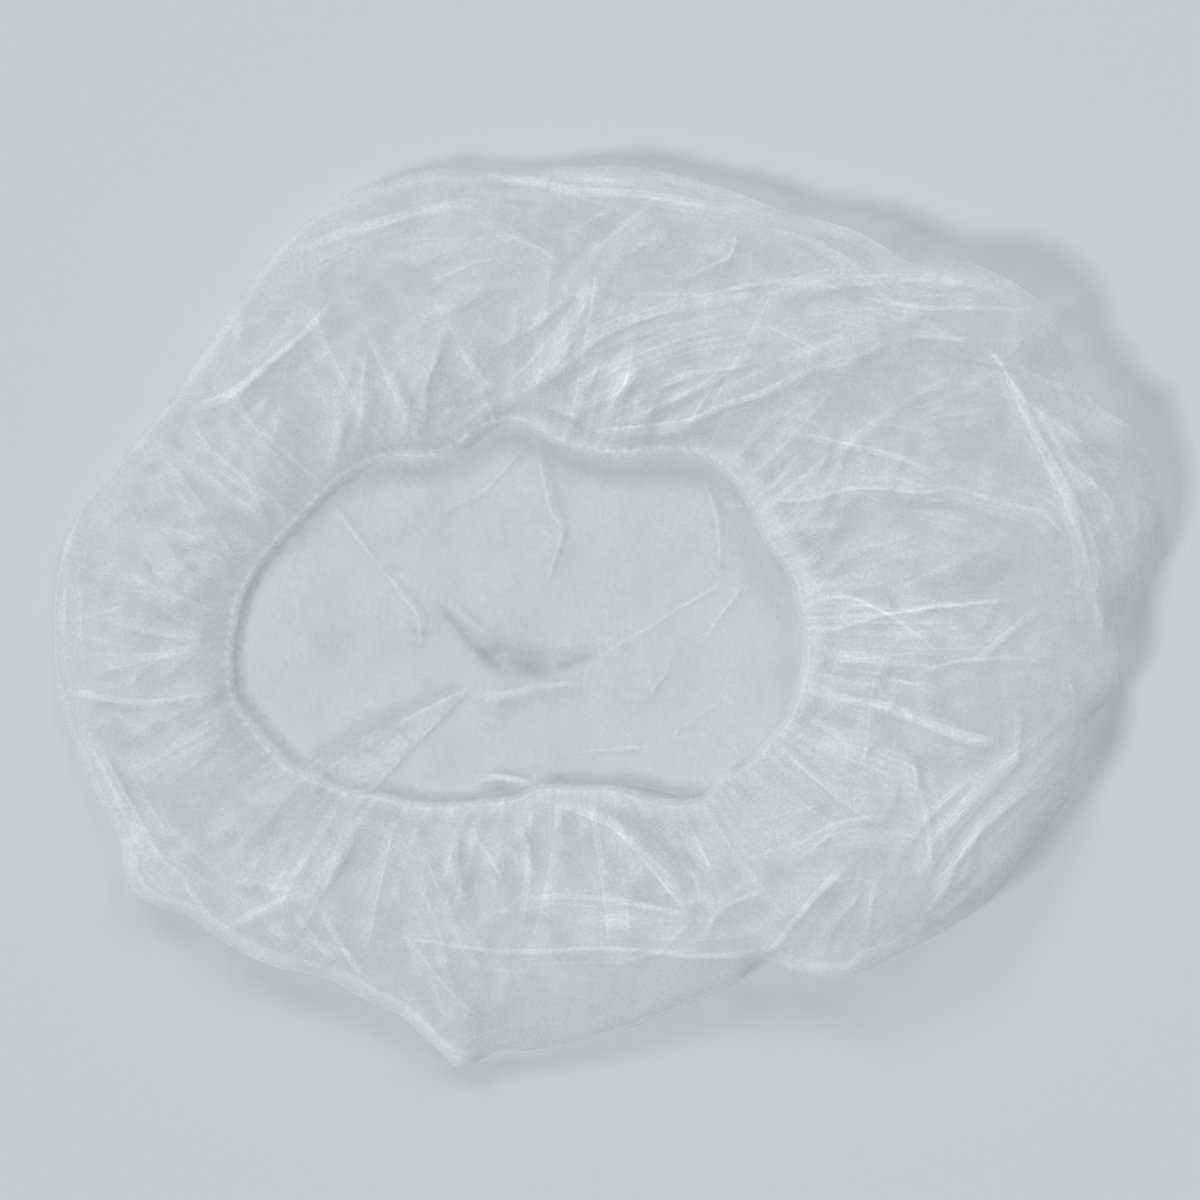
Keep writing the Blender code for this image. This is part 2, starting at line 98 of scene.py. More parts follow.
# Folds and creases, read from the photograph. points: photo pixels. width: of the whiter line or
# band where the cloth lies double, in pixels, at the start and at the end. white: layers of cloth
# that it adds; below nought it is painted shade, the shadow in a deep crease, in a gap or beside a
# fold, given as a darker colour and a little more cover. rise: height of the ridge in mm, below
# nought for a valley. spread: half the ridge's width in pixels. side: 1 where the band is crisp on
# the left of its run and fades to the right, -1 the other way, 2 or -2 where it doesn't fade, 0
# where it is whitest in the middle.
Fold = namedtuple("Fold", "points width white rise spread side", defaults=(0,))
# Folds whose white is below nought are painted shade in creases and between folds.
RING_FOLDS = (
    # Upper left
    Fold(((293, 252), (354, 230), (411, 214), (460, 204), (494, 209)), (7, 15), 1.5, 1.4, 18),
    Fold(((500, 231), (540, 249), (574, 274)), (4, 5), 1.4, 1.6, 14),
    Fold(((430, 212), (470, 218), (500, 231)), (4, 4), 0.8, 0.8, 12),
    Fold(((306, 277), (340, 257), (363, 249)), (4, 3), 1.0, 0.8, 12),
    Fold(((297, 254), (306, 283)), (5, 3), 0.7, 0.6, 10),
    Fold(((191, 409), (226, 400), (251, 380), (277, 357), (306, 331), (340, 294)), (12, 5), 1.9, 2.4, 20),
    Fold(((206, 404), (232, 396), (252, 380)), (15, 15), 0.5, 0.4, 14),
    Fold(((246, 357), (268, 333), (297, 306)), (26, 20), -0.30, -1.4, 20, 1),
    Fold(((200, 390), (217, 386)), (16, 10), -0.45, -1.0, 14),
    Fold(((194, 420), (212, 422), (230, 416)), (16, 8), -0.4, -1.0, 14),
    Fold(((238, 309), (237, 352)), (15, 12), 0.9, 0.8, 12),
    Fold(((186, 412), (211, 451), (246, 477), (269, 526)), (5, 5), 1.4, 2.2, 16),
    Fold(((246, 474), (289, 511)), (4, 5), 1.1, 1.4, 12),
    Fold(((160, 460), (183, 486), (211, 534)), (12, 16), 0.9, 1.4, 16, 1),
    Fold(((240, 437), (268, 467), (300, 500)), (12, 16), 0.6, 1.0, 16, -1),
    Fold(((174, 432), (184, 458)), (9, 6), -0.4, -1.0, 12),
    Fold(((148, 462), (160, 478)), (14, 10), -0.35, -1.0, 12),
    Fold(((130, 486), (150, 500)), (14, 10), -0.3, -0.8, 12),
    Fold(((326, 483), (343, 397), (357, 345)), (8, 4), 0.7, 1.4, 16),
    Fold(((363, 469), (361, 397), (366, 345)), (5, 3), 0.8, 1.4, 14),
    Fold(((392, 456), (402, 400), (424, 340), (440, 300)), (46, 26), 1.1, 2.2, 22, -1),
    Fold(((340, 490), (352, 430), (372, 370)), (26, 20), 0.6, 1.0, 20, 1),
    Fold(((423, 440), (427, 383), (446, 338)), (3, 3), 0.7, 1.2, 12),
    Fold(((440, 425), (440, 390), (458, 365)), (18, 10), -0.2, -0.8, 16),
    Fold(((352, 268), (372, 280)), (26, 22), -0.22, -0.8, 18),
    # Left
    Fold(((78, 520), (66, 545), (61, 606), (59, 640), (63, 686)), (9, 8), 0.6, 0.5, 10),
    Fold(((92, 545), (84, 575), (82, 600)), (22, 18), -0.22, -0.6, 14),
    Fold(((66, 691), (90, 695), (114, 700), (149, 703), (229, 691)), (7, 4), 1.7, 2.2, 16),
    Fold(((77, 703), (120, 709), (169, 729)), (8, 5), -0.35, -1.2, 12),
    Fold(((69, 623), (97, 614), (134, 603)), (4, 3), 1.1, 1.0, 12),
    Fold(((97, 617), (149, 626), (223, 642)), (8, 20), 1.0, 1.6, 16, -1),
    Fold(((146, 606), (177, 624), (210, 632)), (7, 4), -0.4, -1.4, 12),
    Fold(((126, 689), (146, 666)), (4, 3), 0.8, 0.8, 10),
    Fold(((200, 520), (223, 554), (240, 577)), (16, 14), 0.9, 1.6, 14, 1),
    Fold(((143, 520), (174, 566), (223, 589)), (14, 14), 0.9, 1.8, 16, 1),
    Fold(((106, 566), (154, 591), (200, 611), (229, 623)), (9, 14), 0.8, 1.6, 16, 1),
    Fold(((174, 537), (200, 574), (234, 591)), (7, 4), -0.28, -1.4, 12),
    Fold(((120, 540), (150, 560)), (20, 16), -0.2, -0.8, 16),
    Fold(((146, 783), (189, 743), (240, 714)), (20, 24), 0.9, 1.6, 20),
    Fold(((112, 745), (140, 790), (150, 820)), (20, 14), -0.25, -1.0, 16),
    Fold(((78, 733), (104, 790), (128, 835), (152, 872), (190, 905)), (12, 44), 1.0, 0.6, 18, 1),
    Fold(((89, 733), (120, 783), (137, 817), (160, 854), (183, 866), (223, 893)), (3, 4), 0.9, 1.6, 12),
    # Top
    Fold(((466, 172), (534, 182), (580, 192), (637, 194), (694, 203), (760, 214)), (6, 13), 1.7, 1.0, 14),
    Fold(((540, 176), (600, 182), (660, 188)), (14, 12), 0.6, 0.4, 12),
    Fold(((640, 170), (700, 184), (780, 211)), (4, 6), 1.3, 0.4, 8),
    Fold(((468, 176), (500, 184), (532, 192)), (6, 6), -0.5, -1.0, 10),
    Fold(((496, 200), (524, 203), (552, 206)), (7, 5), -0.5, -1.2, 10),
    Fold(((540, 214), (566, 216), (590, 220)), (20, 14), -0.42, -1.4, 16),
    Fold(((592, 226), (622, 228)), (12, 8), -0.3, -0.8, 12),
    Fold(((557, 234), (553, 251)), (3, 2), 0.8, 0.6, 8),
    Fold(((573, 230), (597, 216), (618, 206)), (4, 4), 1.0, 1.0, 12),
    Fold(((508, 402), (540, 372), (565, 340), (585, 310), (597, 276)), (34, 26), 0.9, 1.8, 24, 1),
    Fold(((516, 398), (552, 372), (570, 344), (580, 320)), (3, 3), 0.8, 1.0, 12),
    Fold(((598, 276), (612, 250), (640, 228), (662, 214)), (18, 38), 1.0, 1.8, 24, 1),
    Fold(((420, 300), (480, 270), (540, 262)), (60, 40), 0.35, 0.6, 30, -1),
    Fold(((646, 262), (660, 240), (676, 222)), (3, 3), 0.5, 0.8, 10),
    Fold(((668, 250), (690, 238), (716, 232)), (26, 20), -0.25, -1.0, 20),
    Fold(((494, 348), (540, 323), (582, 286)), (4, 5), 1.1, 1.6, 14),
    Fold(((484, 368), (506, 340), (530, 322)), (5, 3), 0.8, 1.0, 12),
    Fold(((588, 334), (604, 312), (616, 298)), (14, 8), -0.35, -1.2, 12),
    Fold(((533, 392), (563, 366), (598, 337), (623, 323), (666, 308), (709, 299), (770, 290)),
         (5, 15), 1.5, 2.6, 20),
    Fold(((760, 290), (805, 284), (850, 280), (892, 276), (940, 278), (1000, 283), (1030, 292)),
         (18, 12), 1.4, 2.0, 20),
    Fold(((600, 356), (622, 340), (640, 332)), (22, 16), -0.2, -0.8, 16),
    Fold(((623, 294), (600, 324)), (3, 3), 1.1, 1.0, 10),
    Fold(((623, 294), (666, 294), (706, 293)), (3, 4), 0.8, 0.6, 10),
    Fold(((671, 283), (702, 270), (731, 257), (739, 223)), (4, 3), 1.3, 1.4, 14),
    Fold(((709, 291), (740, 287), (780, 283)), (4, 3), 1.2, 0.8, 8),
    Fold(((712, 295), (742, 291), (775, 288)), (4, 3), -0.4, -0.6, 6),
    Fold(((510, 400), (490, 384), (474, 366), (446, 340)), (12, 3), 1.1, 1.0, 14),
    Fold(((490, 376), (470, 352), (450, 335)), (5, 4), -0.4, -1.0, 8),
    Fold(((423, 406), (454, 399), (494, 396)), (3, 3), 0.9, 1.0, 10),
    Fold(((451, 406), (443, 434)), (4, 3), 0.8, 0.8, 10),
    Fold(((505, 398), (484, 416), (456, 440)), (18, 20), 1.3, 0.7, 16, -1),
    Fold(((503, 388), (512, 400), (523, 410)), (22, 18), 1.3, 0.7, 14),
    Fold(((530, 398), (560, 410), (596, 424)), (3, 3), 0.8, 0.8, 10),
    Fold(((546, 392), (566, 384), (580, 376)), (20, 14), -0.15, -0.5, 14),
    Fold(((528, 408), (552, 424), (576, 436)), (6, 5), -0.3, -0.8, 8),
    Fold(((593, 433), (614, 395), (640, 352)), (13, 10), 1.0, 1.0, 16),
    Fold(((606, 424), (628, 388), (646, 356)), (3, 2), 0.8, 0.8, 10),
    Fold(((580, 411), (594, 372), (610, 345)), (3, 3), 0.7, 0.8, 10),
    Fold(((614, 426), (694, 389), (723, 377), (760, 345)), (5, 4), 1.0, 1.6, 16),
    Fold(((584, 444), (630, 436), (680, 428), (716, 416)), (26, 12), 2.2, 1.6, 14, 1),
    Fold(((552, 404), (620, 372), (690, 346), (790, 330)), (12, 84), 0.55, 0.8, 30, 1),
    Fold(((616, 424), (660, 398), (710, 372)), (16, 26), 0.6, 0.8, 20, -1),
    Fold(((677, 427), (723, 406), (760, 394), (805, 373), (850, 361), (892, 338)), (7, 5), 1.7, 2.6, 22),
    Fold(((892, 338), (928, 337), (982, 340)), (5, 3), 1.1, 1.4, 14),
    # Upper right
    Fold(((800, 300), (880, 320), (960, 330)), (50, 34), 0.45, 0.8, 30, 1),
    Fold(((760, 352), (830, 330), (900, 322)), (40, 24), 0.45, 0.6, 26, 1),
    Fold(((799, 220), (830, 225), (859, 233), (910, 264)), (8, 7), 1.5, 0.8, 10),
    Fold(((800, 228), (840, 240), (890, 263)), (6, 5), -0.5, -1.0, 8),
    Fold(((760, 226), (814, 239), (844, 257), (865, 268)), (4, 5), 1.2, 1.2, 12),
    Fold(((865, 283), (892, 302), (928, 308), (980, 308), (1046, 311)), (5, 5), 1.3, 1.8, 14),
    Fold(((792, 318), (814, 298), (850, 290), (884, 300)), (6, 10), -0.45, -2.0, 14),
    Fold(((820, 304), (850, 298), (878, 304)), (14, 10), -0.3, -0.6, 12),
    Fold(((896, 284), (928, 290), (958, 294)), (4, 3), -0.45, -0.8, 8),
    Fold(((900, 296), (935, 300), (965, 301)), (4, 3), -0.35, -0.6, 8),
    Fold(((935, 280), (950, 284), (975, 284)), (9, 5), 1.3, 0.8, 10),
    Fold(((760, 322), (799, 341), (832, 358)), (3, 3), 1.2, 1.0, 10),
    Fold(((888, 328), (920, 328), (965, 330)), (6, 4), -0.3, -0.8, 10),
    Fold(((902, 344), (952, 358), (1006, 370), (1030, 376)), (5, 5), -0.5, -1.8, 12),
    Fold(((896, 352), (912, 366), (926, 376)), (34, 26), -0.24, -1.4, 22, 1),
    Fold(((860, 372), (880, 360)), (22, 20), -0.18, -0.8, 18),
    Fold(((889, 412), (928, 388), (970, 373)), (7, 7), 0.7, 1.8, 20, -1),
    Fold(((900, 440), (950, 420), (1000, 410)), (50, 40), 0.30, 0.6, 30),
    Fold(((822, 396), (855, 404), (890, 430)), (30, 26), -0.25, -1.4, 22),
    Fold(((772, 394), (800, 384), (840, 378)), (16, 20), -0.28, -1.4, 18),
    Fold(((930, 424), (975, 436), (1010, 444)), (4, 4), -0.3, -1.0, 12),
    Fold(((1000, 360), (1050, 430), (1080, 490), (1104, 560)), (10, 46), 0.6, 1.0, 24, 1),
    Fold(((982, 343), (1015, 379), (1027, 415), (1042, 448), (1066, 490), (1087, 532), (1099, 580),
          (1108, 640)), (6, 24), 1.4, 2.4, 20),
    Fold(((1094, 560), (1102, 600), (1106, 650)), (3, 3), 0.9, 0.8, 8),
    Fold(((988, 346), (1024, 400), (1060, 427), (1099, 454), (1120, 469)), (4, 4), 1.3, 1.6, 14),
    Fold(((1006, 361), (1048, 382), (1081, 392), (1105, 412)), (5, 6), 1.4, 1.4, 12),
    Fold(((1024, 352), (1060, 366), (1070, 378)), (20, 16), -0.32, -1.2, 16),
    Fold(((1030, 330), (1012, 352), (1000, 362)), (3, 3), 0.9, 0.8, 10),
    Fold(((1086, 408), (1105, 416), (1133, 428)), (14, 11), 1.6, 0.9, 12),
    Fold(((1062, 444), (1098, 448), (1130, 462)), (18, 22), -0.45, -2.2, 18),
    Fold(((1048, 448), (1084, 475), (1111, 499), (1126, 538), (1138, 562)), (4, 4), 1.3, 1.4, 14),
    Fold(((1136, 478), (1139, 512), (1138, 548)), (9, 6), 0.9, 0.6, 8),
    Fold(((1000, 460), (1030, 470)), (5, 4), -0.3, -1.0, 10),
    # Right
    Fold(((840, 470), (900, 500), (990, 520)), (46, 40), 0.45, 0.6, 30, 1),
    Fold(((820, 640), (900, 632), (1000, 626)), (20, 50), 0.5, 0.6, 30, -1),
    Fold(((772, 412), (805, 418), (835, 436)), (5, 4), 1.0, 1.0, 14),
    Fold(((769, 427), (832, 442), (898, 457), (950, 482)), (6, 9), 1.1, 1.8, 18),
    Fold(((792, 454), (820, 456)), (24, 20), -0.28, -1.2, 20),
    Fold(((760, 502), (805, 499), (856, 487), (889, 488), (922, 494), (952, 487), (1000, 503), (1045, 511),
          (1072, 544)), (5, 4), 1.4, 2.0, 18),
    Fold(((880, 502), (930, 504), (1000, 518)), (18, 22), -0.22, -1.2, 20),
    Fold(((841, 551), (880, 544), (922, 533)), (4, 3), 1.2, 1.4, 14),
    Fold(((770, 534), (810, 526), (860, 520)), (14, 12), 0.5, 1.0, 18),
    Fold(((952, 568), (985, 576), (1018, 586)), (36, 34), -0.22, -1.2, 26),
    Fold(((884, 602), (905, 606)), (10, 10), -0.4, -1.0, 12),
    Fold(((814, 595), (856, 598), (886, 613), (925, 640), (944, 658)), (4, 4), 1.5, 1.8, 14),
    Fold(((811, 634), (850, 624), (886, 613), (940, 605), (1024, 599)), (5, 5), 1.3, 1.8, 16),
    Fold(((900, 618), (950, 614), (1010, 612)), (20, 20), 0.35, 0.4, 16),
    Fold(((966, 669), (979, 657), (1010, 632), (1042, 606)), (5, 9), 1.3, 1.4, 14),
    Fold(((910, 675), (960, 660), (1023, 658), (1067, 668)), (4, 4), 1.3, 1.6, 14),
    Fold(((815, 647), (845, 646), (876, 648)), (10, 6), -0.42, -1.8, 10),
    Fold(((819, 657), (888, 663), (941, 664)), (9, 6), 0.9, 1.4, 12),
    Fold(((819, 674), (878, 679), (904, 686)), (5, 6), -0.6, -2.0, 10),
    Fold(((819, 694), (850, 700), (875, 704), (910, 716), (960, 735), (1007, 748)), (9, 12), 1.4, 2.4, 14),
    Fold(((870, 700), (890, 702), (905, 712)), (16, 16), 0.8, 0.6, 10),
    Fold(((878, 698), (903, 689)), (5, 4), 1.0, 0.8, 8),
    Fold(((812, 711), (840, 718), (866, 727)), (14, 10), -0.42, -1.8, 12),
    Fold(((803, 732), (866, 757), (910, 776), (960, 801)), (24, 26), 0.5, 1.4, 18),
    Fold(((793, 751), (828, 779), (872, 789)), (5, 7), -0.4, -1.2, 10),
    Fold(((888, 647), (872, 688), (869, 722), (863, 789)), (4, 4), 1.1, 1.0, 12),
    Fold(((910, 741), (919, 789), (929, 833), (932, 886)), (4, 5), 1.3, 1.4, 12),
    Fold(((916, 756), (960, 764), (1008, 766)), (24, 12), -0.36, -1.6, 18),
    Fold(((930, 780), (956, 792)), (16, 10), -0.3, -1.0, 14),
    Fold(((1020, 694), (1018, 730), (1017, 770)), (7, 4), 1.0, 1.2, 12),
    Fold(((1067, 668), (1073, 690), (1076, 712)), (4, 4), 1.1, 1.0, 12),
    Fold(((1117, 690), (1100, 708), (1088, 724)), (6, 6), 1.5, 0.8, 10),
    Fold(((1100, 596), (1106, 640), (1112, 672)), (5, 5), 0.9, 0.6, 8),
    # Lower right
    Fold(((1098, 700), (1050, 748), (1000, 792), (952, 842), (918, 896)), (26, 62), 0.45, 1.0, 24, 1),
    Fold(((1070, 716), (1040, 752), (1000, 790)), (18, 26), 0.5, 0.6, 16),
    Fold(((1010, 840), (970, 880), (925, 925)), (20, 30), 0.5, 0.4, 16),
    Fold(((1010, 767), (973, 795), (941, 833), (929, 852)), (12, 15), 1.3, 2.0, 18),
    Fold(((1054, 776), (998, 814), (966, 848), (948, 883), (929, 914)), (4, 7), 1.7, 1.8, 14),
    Fold(((978, 822), (1000, 804)), (14, 12), -0.28, -1.0, 12),
    Fold(((950, 900), (975, 880), (1000, 850)), (20, 20), -0.22, -0.8, 16),
    Fold(((1030, 800), (1046, 806), (1040, 826)), (4, 4), 0.8, 0.8, 8),
    Fold(((762, 962), (790, 927), (822, 889), (850, 861)), (5, 9), 1.7, 2.2, 16),
    Fold(((790, 948), (806, 930), (820, 916)), (26, 20), -0.32, -1.2, 18),
    Fold(((850, 872), (862, 874)), (18, 16), -0.38, -1.0, 12),
    Fold(((822, 905), (844, 900)), (16, 12), -0.28, -0.8, 12),
    Fold(((819, 965), (834, 924), (856, 899), (868, 884)), (4, 4), 1.3, 1.2, 10),
    Fold(((866, 940), (872, 892), (884, 864)), (4, 5), 1.2, 1.2, 12),
    Fold(((745, 868), (803, 850), (866, 836), (929, 850)), (18, 24), 0.8, 1.8, 20, 1),
    Fold(((797, 845), (828, 826), (860, 817), (891, 817), (935, 830)), (4, 5), 1.0, 1.6, 14),
    Fold(((866, 806), (895, 815), (935, 832)), (14, 6), -0.45, -1.2, 12),
    Fold(((800, 800), (840, 806), (870, 798)), (22, 20), -0.2, -1.0, 20),
    Fold(((850, 814), (822, 842), (800, 856)), (3, 3), 0.9, 0.8, 10),
    Fold(((768, 964), (815, 969), (847, 974), (862, 956), (897, 946), (934, 915)), (7, 15), 1.5, 0.9, 14),
    # Bottom
    Fold(((560, 930), (640, 926), (700, 926)), (60, 30), 0.5, 0.6, 26, 1),
    Fold(((420, 860), (440, 920), (480, 990)), (40, 50), 0.45, 0.6, 28, -1),
    Fold(((540, 800), (580, 806), (620, 823), (654, 860), (683, 894), (700, 914)),
         (14, 22), 1.5, 2.6, 18, -1),
    Fold(((596, 804), (637, 824), (677, 854), (717, 874)), (9, 12), -0.42, -1.6, 14),
    Fold(((690, 816), (706, 834)), (26, 20), -0.25, -1.2, 20),
    Fold(((706, 884), (706, 912)), (18, 16), 1.3, 1.4, 12),
    Fold(((686, 858), (697, 883), (704, 911)), (4, 5), 1.0, 1.2, 12),
    Fold(((520, 899), (563, 896), (609, 899), (660, 908), (697, 918)), (6, 5), 1.1, 1.6, 14),
    Fold(((575, 914), (610, 920), (650, 926)), (18, 16), 0.9, 0.8, 14),
    Fold(((594, 884), (630, 890), (675, 904)), (12, 8), -0.38, -1.4, 12),
    Fold(((520, 914), (545, 920), (570, 926)), (10, 8), -0.42, -1.2, 12),
    Fold(((590, 936), (625, 942), (655, 944)), (10, 6), -0.32, -0.8, 10),
    Fold(((397, 937), (437, 943), (489, 951), (540, 951), (580, 949), (654, 950)), (4, 5), 1.4, 1.8, 16),
    Fold(((609, 967), (660, 951), (691, 957), (760, 954), (780, 937)), (5, 8), 1.3, 1.4, 14),
    Fold(((660, 949), (694, 920)), (4, 5), 1.3, 1.2, 12),
    Fold(((700, 940), (717, 911), (746, 896), (780, 883)), (5, 4), 1.1, 1.4, 12),
    Fold(((411, 940), (437, 977), (466, 1009), (489, 1022)), (5, 4), 1.4, 1.6, 14),
    Fold(((394, 900), (404, 944), (417, 984)), (5, 5), -0.5, -1.6, 10),
    Fold(((414, 990), (430, 1006), (444, 1026)), (12, 9), -0.42, -1.4, 12),
    Fold(((451, 829), (457, 870), (463, 911)), (10, 9), 1.1, 1.6, 12, 1),
    Fold(((466, 823), (490, 858), (509, 888)), (5, 4), 1.0, 1.4, 12),
    Fold(((514, 809), (524, 850), (534, 890)), (10, 8), 1.1, 1.6, 12),
    Fold(((474, 866), (484, 890)), (20, 20), -0.32, -1.2, 14),
    Fold(((538, 830), (545, 858)), (24, 20), -0.30, -1.6, 16),
    Fold(((380, 1006), (414, 1019), (437, 1040), (463, 1056), (520, 1052)), (14, 7), 1.4, 0.8, 12),
    # Lower left
    Fold(((300, 830), (270, 880), (250, 930)), (40, 44), 0.5, 0.8, 26, 1),
    Fold(((354, 809), (345, 843), (328, 876), (318, 900)), (14, 16), 1.4, 1.8, 16),
    Fold(((377, 820), (362, 850), (352, 884)), (14, 26), -0.40, -1.8, 16),
    Fold(((266, 826), (286, 838)), (26, 22), -0.25, -1.2, 18),
    Fold(((211, 874), (245, 880), (284, 889), (326, 890)), (4, 4), 1.0, 1.2, 10),
    Fold(((232, 886), (262, 898), (284, 900)), (8, 18), -0.45, -1.4, 12),
    Fold(((220, 938), (251, 914), (286, 899), (326, 893)), (9, 8), 1.5, 1.8, 16),
    Fold(((177, 874), (196, 898), (214, 926)), (5, 8), 1.3, 1.0, 10),
    Fold(((320, 900), (330, 930), (352, 960), (374, 992)), (6, 6), 1.3, 1.4, 12),
    Fold(((286, 900), (310, 935), (345, 975)), (8, 7), 1.0, 1.2, 12),
    Fold(((232, 944), (280, 966), (330, 984), (372, 1006)), (9, 9), 1.0, 0.6, 10),
)

# The folds of the crown, the cloth that lies on the surface
CROWN_FOLDS = (
    # The flap that runs from the star to the lower left, and on under the ring
    Fold(((476, 683), (430, 716), (388, 746), (340, 782), (316, 802)), (1, 74), 1.4, 1.0, 14, 2),
    Fold(((469, 687), (436, 704), (400, 724), (360, 748), (318, 776)), (2, 3), 0.5, 1.6, 12),
    # The dark band above the flap's upper edge is its painted shadow.
    Fold(((466, 680), (432, 697), (394, 716), (352, 740), (304, 767)), (8, 26), -0.55, -0.7, 14),
    Fold(((469, 691), (443, 721), (404, 747), (379, 781)), (3, 5), 0.4, 0.3, 12),
    Fold(((330, 772), (269, 796), (234, 823), (183, 849), (160, 862)), (26, 20), 1.1, 1.8, 18),
    # The star and what runs out of it; its dark folds are painted shade in the star's valleys
    Fold(((434, 598), (456, 626), (482, 654), (516, 684)), (6, 14), -1.0, -1.5, 14),
    Fold(((470, 636), (512, 656), (556, 662)), (18, 30), -0.75, -0.6, 18),
    Fold(((496, 666), (526, 672), (562, 664)), (16, 16), -0.75, -0.3, 14),
    Fold(((540, 674), (566, 665), (604, 650)), (9, 8), -1.0, -1.0, 12),
    Fold(((446, 600), (474, 626), (500, 642), (530, 650), (566, 645), (600, 640)), (3, 3), 0.4, 2.6, 18),
    Fold(((471, 694), (499, 697), (537, 686), (589, 683)), (12, 4), 0.7, 3.0, 16),
    Fold(((331, 503), (366, 550), (391, 580), (419, 617), (420, 652)), (4, 4), 1.2, 1.4, 18),
    Fold(((384, 562), (400, 576)), (16, 12), -0.3, -0.6, 12),
    Fold(((535, 439), (550, 511), (563, 529), (544, 593)), (4, 4), 1.2, 1.6, 20),
    Fold(((529, 443), (486, 490), (426, 520)), (3, 3), 1.0, 1.0, 14),
    Fold(((546, 466), (580, 451)), (3, 3), 0.7, 0.5, 10),
    Fold(((704, 477), (717, 520), (721, 571)), (4, 4), 1.1, 1.0, 16),
    Fold(((721, 507), (777, 503)), (3, 3), 0.7, 0.5, 10),
    Fold(((734, 576), (690, 602), (649, 627), (597, 657)), (4, 4), 1.2, 1.6, 18, -1),
    Fold(((720, 590), (670, 625), (625, 655)), (34, 24), 0.16, 0.5, 20),
    Fold(((738, 568), (690, 595), (650, 618)), (6, 4), -0.25, -0.6, 10),
    Fold(((736, 574), (741, 589), (717, 619), (700, 649)), (4, 3), 1.1, 1.0, 14),
    Fold(((672, 649), (666, 674), (640, 704)), (4, 4), 1.0, 0.8, 12),
    Fold(((734, 691), (696, 718), (657, 745)), (4, 3), 0.9, 0.9, 14),
    Fold(((554, 754), (600, 750), (657, 745)), (4, 4), 1.0, 1.2, 16),
    Fold(((270, 600), (320, 640), (345, 680)), (14, 14), -0.12, -0.6, 20),
    # Beside the lower hem; the dark ones are the painted shadow of the hem and of the dark gap under it
    Fold(((474, 784), (494, 776), (523, 781), (540, 790)), (6, 5), 1.6, 2.8, 12),
    Fold(((474, 790), (500, 787), (520, 797)), (7, 11), -0.7, -1.0, 8),
    Fold(((463, 772), (506, 769), (540, 769), (560, 779), (591, 787)), (3, 9), -0.3, -0.8, 10),
    Fold(((591, 780), (637, 789), (689, 800)), (5, 4), -0.3, -0.6, 8),
    Fold(((614, 779), (665, 791), (694, 797)), (4, 4), 0.9, 1.6, 10),
)


def to_plan(pixel):
    """A photo pixel as a place on the surface, in millimetres."""
    x = (pixel[0] - ORIGIN_PIXEL[0]) * MM_PER_PIXEL
    y = (ORIGIN_PIXEL[1] - pixel[1]) * MM_PER_PIXEL
    return x, y


CROWN = np.array(to_plan(CROWN_PIXEL))
# Where the crown's cloth is finely rippled, and how far that reaches in mm
RIPPLE = to_plan(RIPPLE_PIXEL)
RIPPLE_REACH = 14


def waves(x, y, length, seed, terms=9):
    """Smooth noise of about unit height: sines of about that wavelength in all directions."""
    rng = np.random.default_rng(SEED * 1000 + seed)
    total = np.zeros_like(x)
    for _ in range(terms):
        turn = rng.uniform(0, 2 * pi)
        run = 2 * pi / (length * rng.uniform(0.65, 1.6))
        total += np.sin(run * (x * np.cos(turn) + y * np.sin(turn)) + rng.uniform(0, 2 * pi))
    return total / np.sqrt(terms / 2)


Wave = namedtuple("Wave", "height length seed")


def summed(x, y, table):
    """The waves of a table, added up."""
    return sum(wave.height * waves(x, y, wave.length, wave.seed) for wave in table)


def closed_curve(turns, values, turn):
    """Values at turns, on a smooth closed curve through a table sorted by turn."""
    turns = np.asarray(turns, float)
    values = np.asarray(values, float)
    order = np.argsort(turns)
    turns, values = turns[order], values[order]
    count = len(turns)
    t = np.concatenate([turns[-3:] - 360, turns, turns[:3] + 360])
    v = np.concatenate([values[-3:], values, values[:3]])
    slope = (v[2:] - v[:-2]) / (t[2:] - t[:-2])
    turn = np.mod(turn, 360.0)
    k = np.clip(np.searchsorted(t, turn, side="right") - 1, 1, count + 3)
    span = t[k + 1] - t[k]
    s = (turn - t[k]) / span
    a, b = slope[k - 1] * span, slope[k] * span
    step = v[k + 1] - v[k]
    return v[k] + s * (a + s * (3 * step - 2 * a - b + s * (a + b - 2 * step)))


class Outline:
    """A closed line round the crown's middle, given by photo pixels and read by turn."""

    def __init__(self, pixels, axes):
        self.axes = np.array(axes) * MM_PER_PIXEL
        place = (np.array([to_plan(p) for p in pixels]) - CROWN) / self.axes
        self.turns = np.degrees(np.arctan2(place[:, 1], place[:, 0])) % 360
        self.reaches = np.hypot(place[:, 0], place[:, 1])

    def reach(self, turn):
        return closed_curve(self.turns, self.reaches, turn)

    def at(self, turn):
        reach = self.reach(turn)
        angle = np.radians(turn)
        x = CROWN[0] + self.axes[0] * reach * np.cos(angle)
        y = CROWN[1] + self.axes[1] * reach * np.sin(angle)
        return np.stack([x, y], axis=-1)

    def turn_and_share(self, places):
        """Each place's turn, and how far out it lies as a share of the outline's reach there."""
        local = (places - CROWN) / self.axes
        turn = np.degrees(np.arctan2(local[:, 1], local[:, 0])) % 360
        return turn, np.hypot(local[:, 0], local[:, 1]) / self.reach(turn)

    def spaced_turns(self, spacing):
        """Turns whose points lie evenly along the line, about that far apart."""
        fine = np.linspace(0, 360, 7201)
        points = self.at(fine)
        along = np.concatenate([[0], np.cumsum(step_lengths(points))])
        count = int(round(along[-1] / spacing))
        return np.interp(np.arange(count) * along[-1] / count, along, fine)


outline = Outline(OUTLINE, OUTLINE_AXES)
mouth = Outline(MOUTH, MOUTH_AXES)


def height_at(column, turn):
    """One column of HEIGHTS, in mm, at any turn."""
    return closed_curve([h.turn for h in HEIGHTS], [getattr(h, column) for h in HEIGHTS], turn)


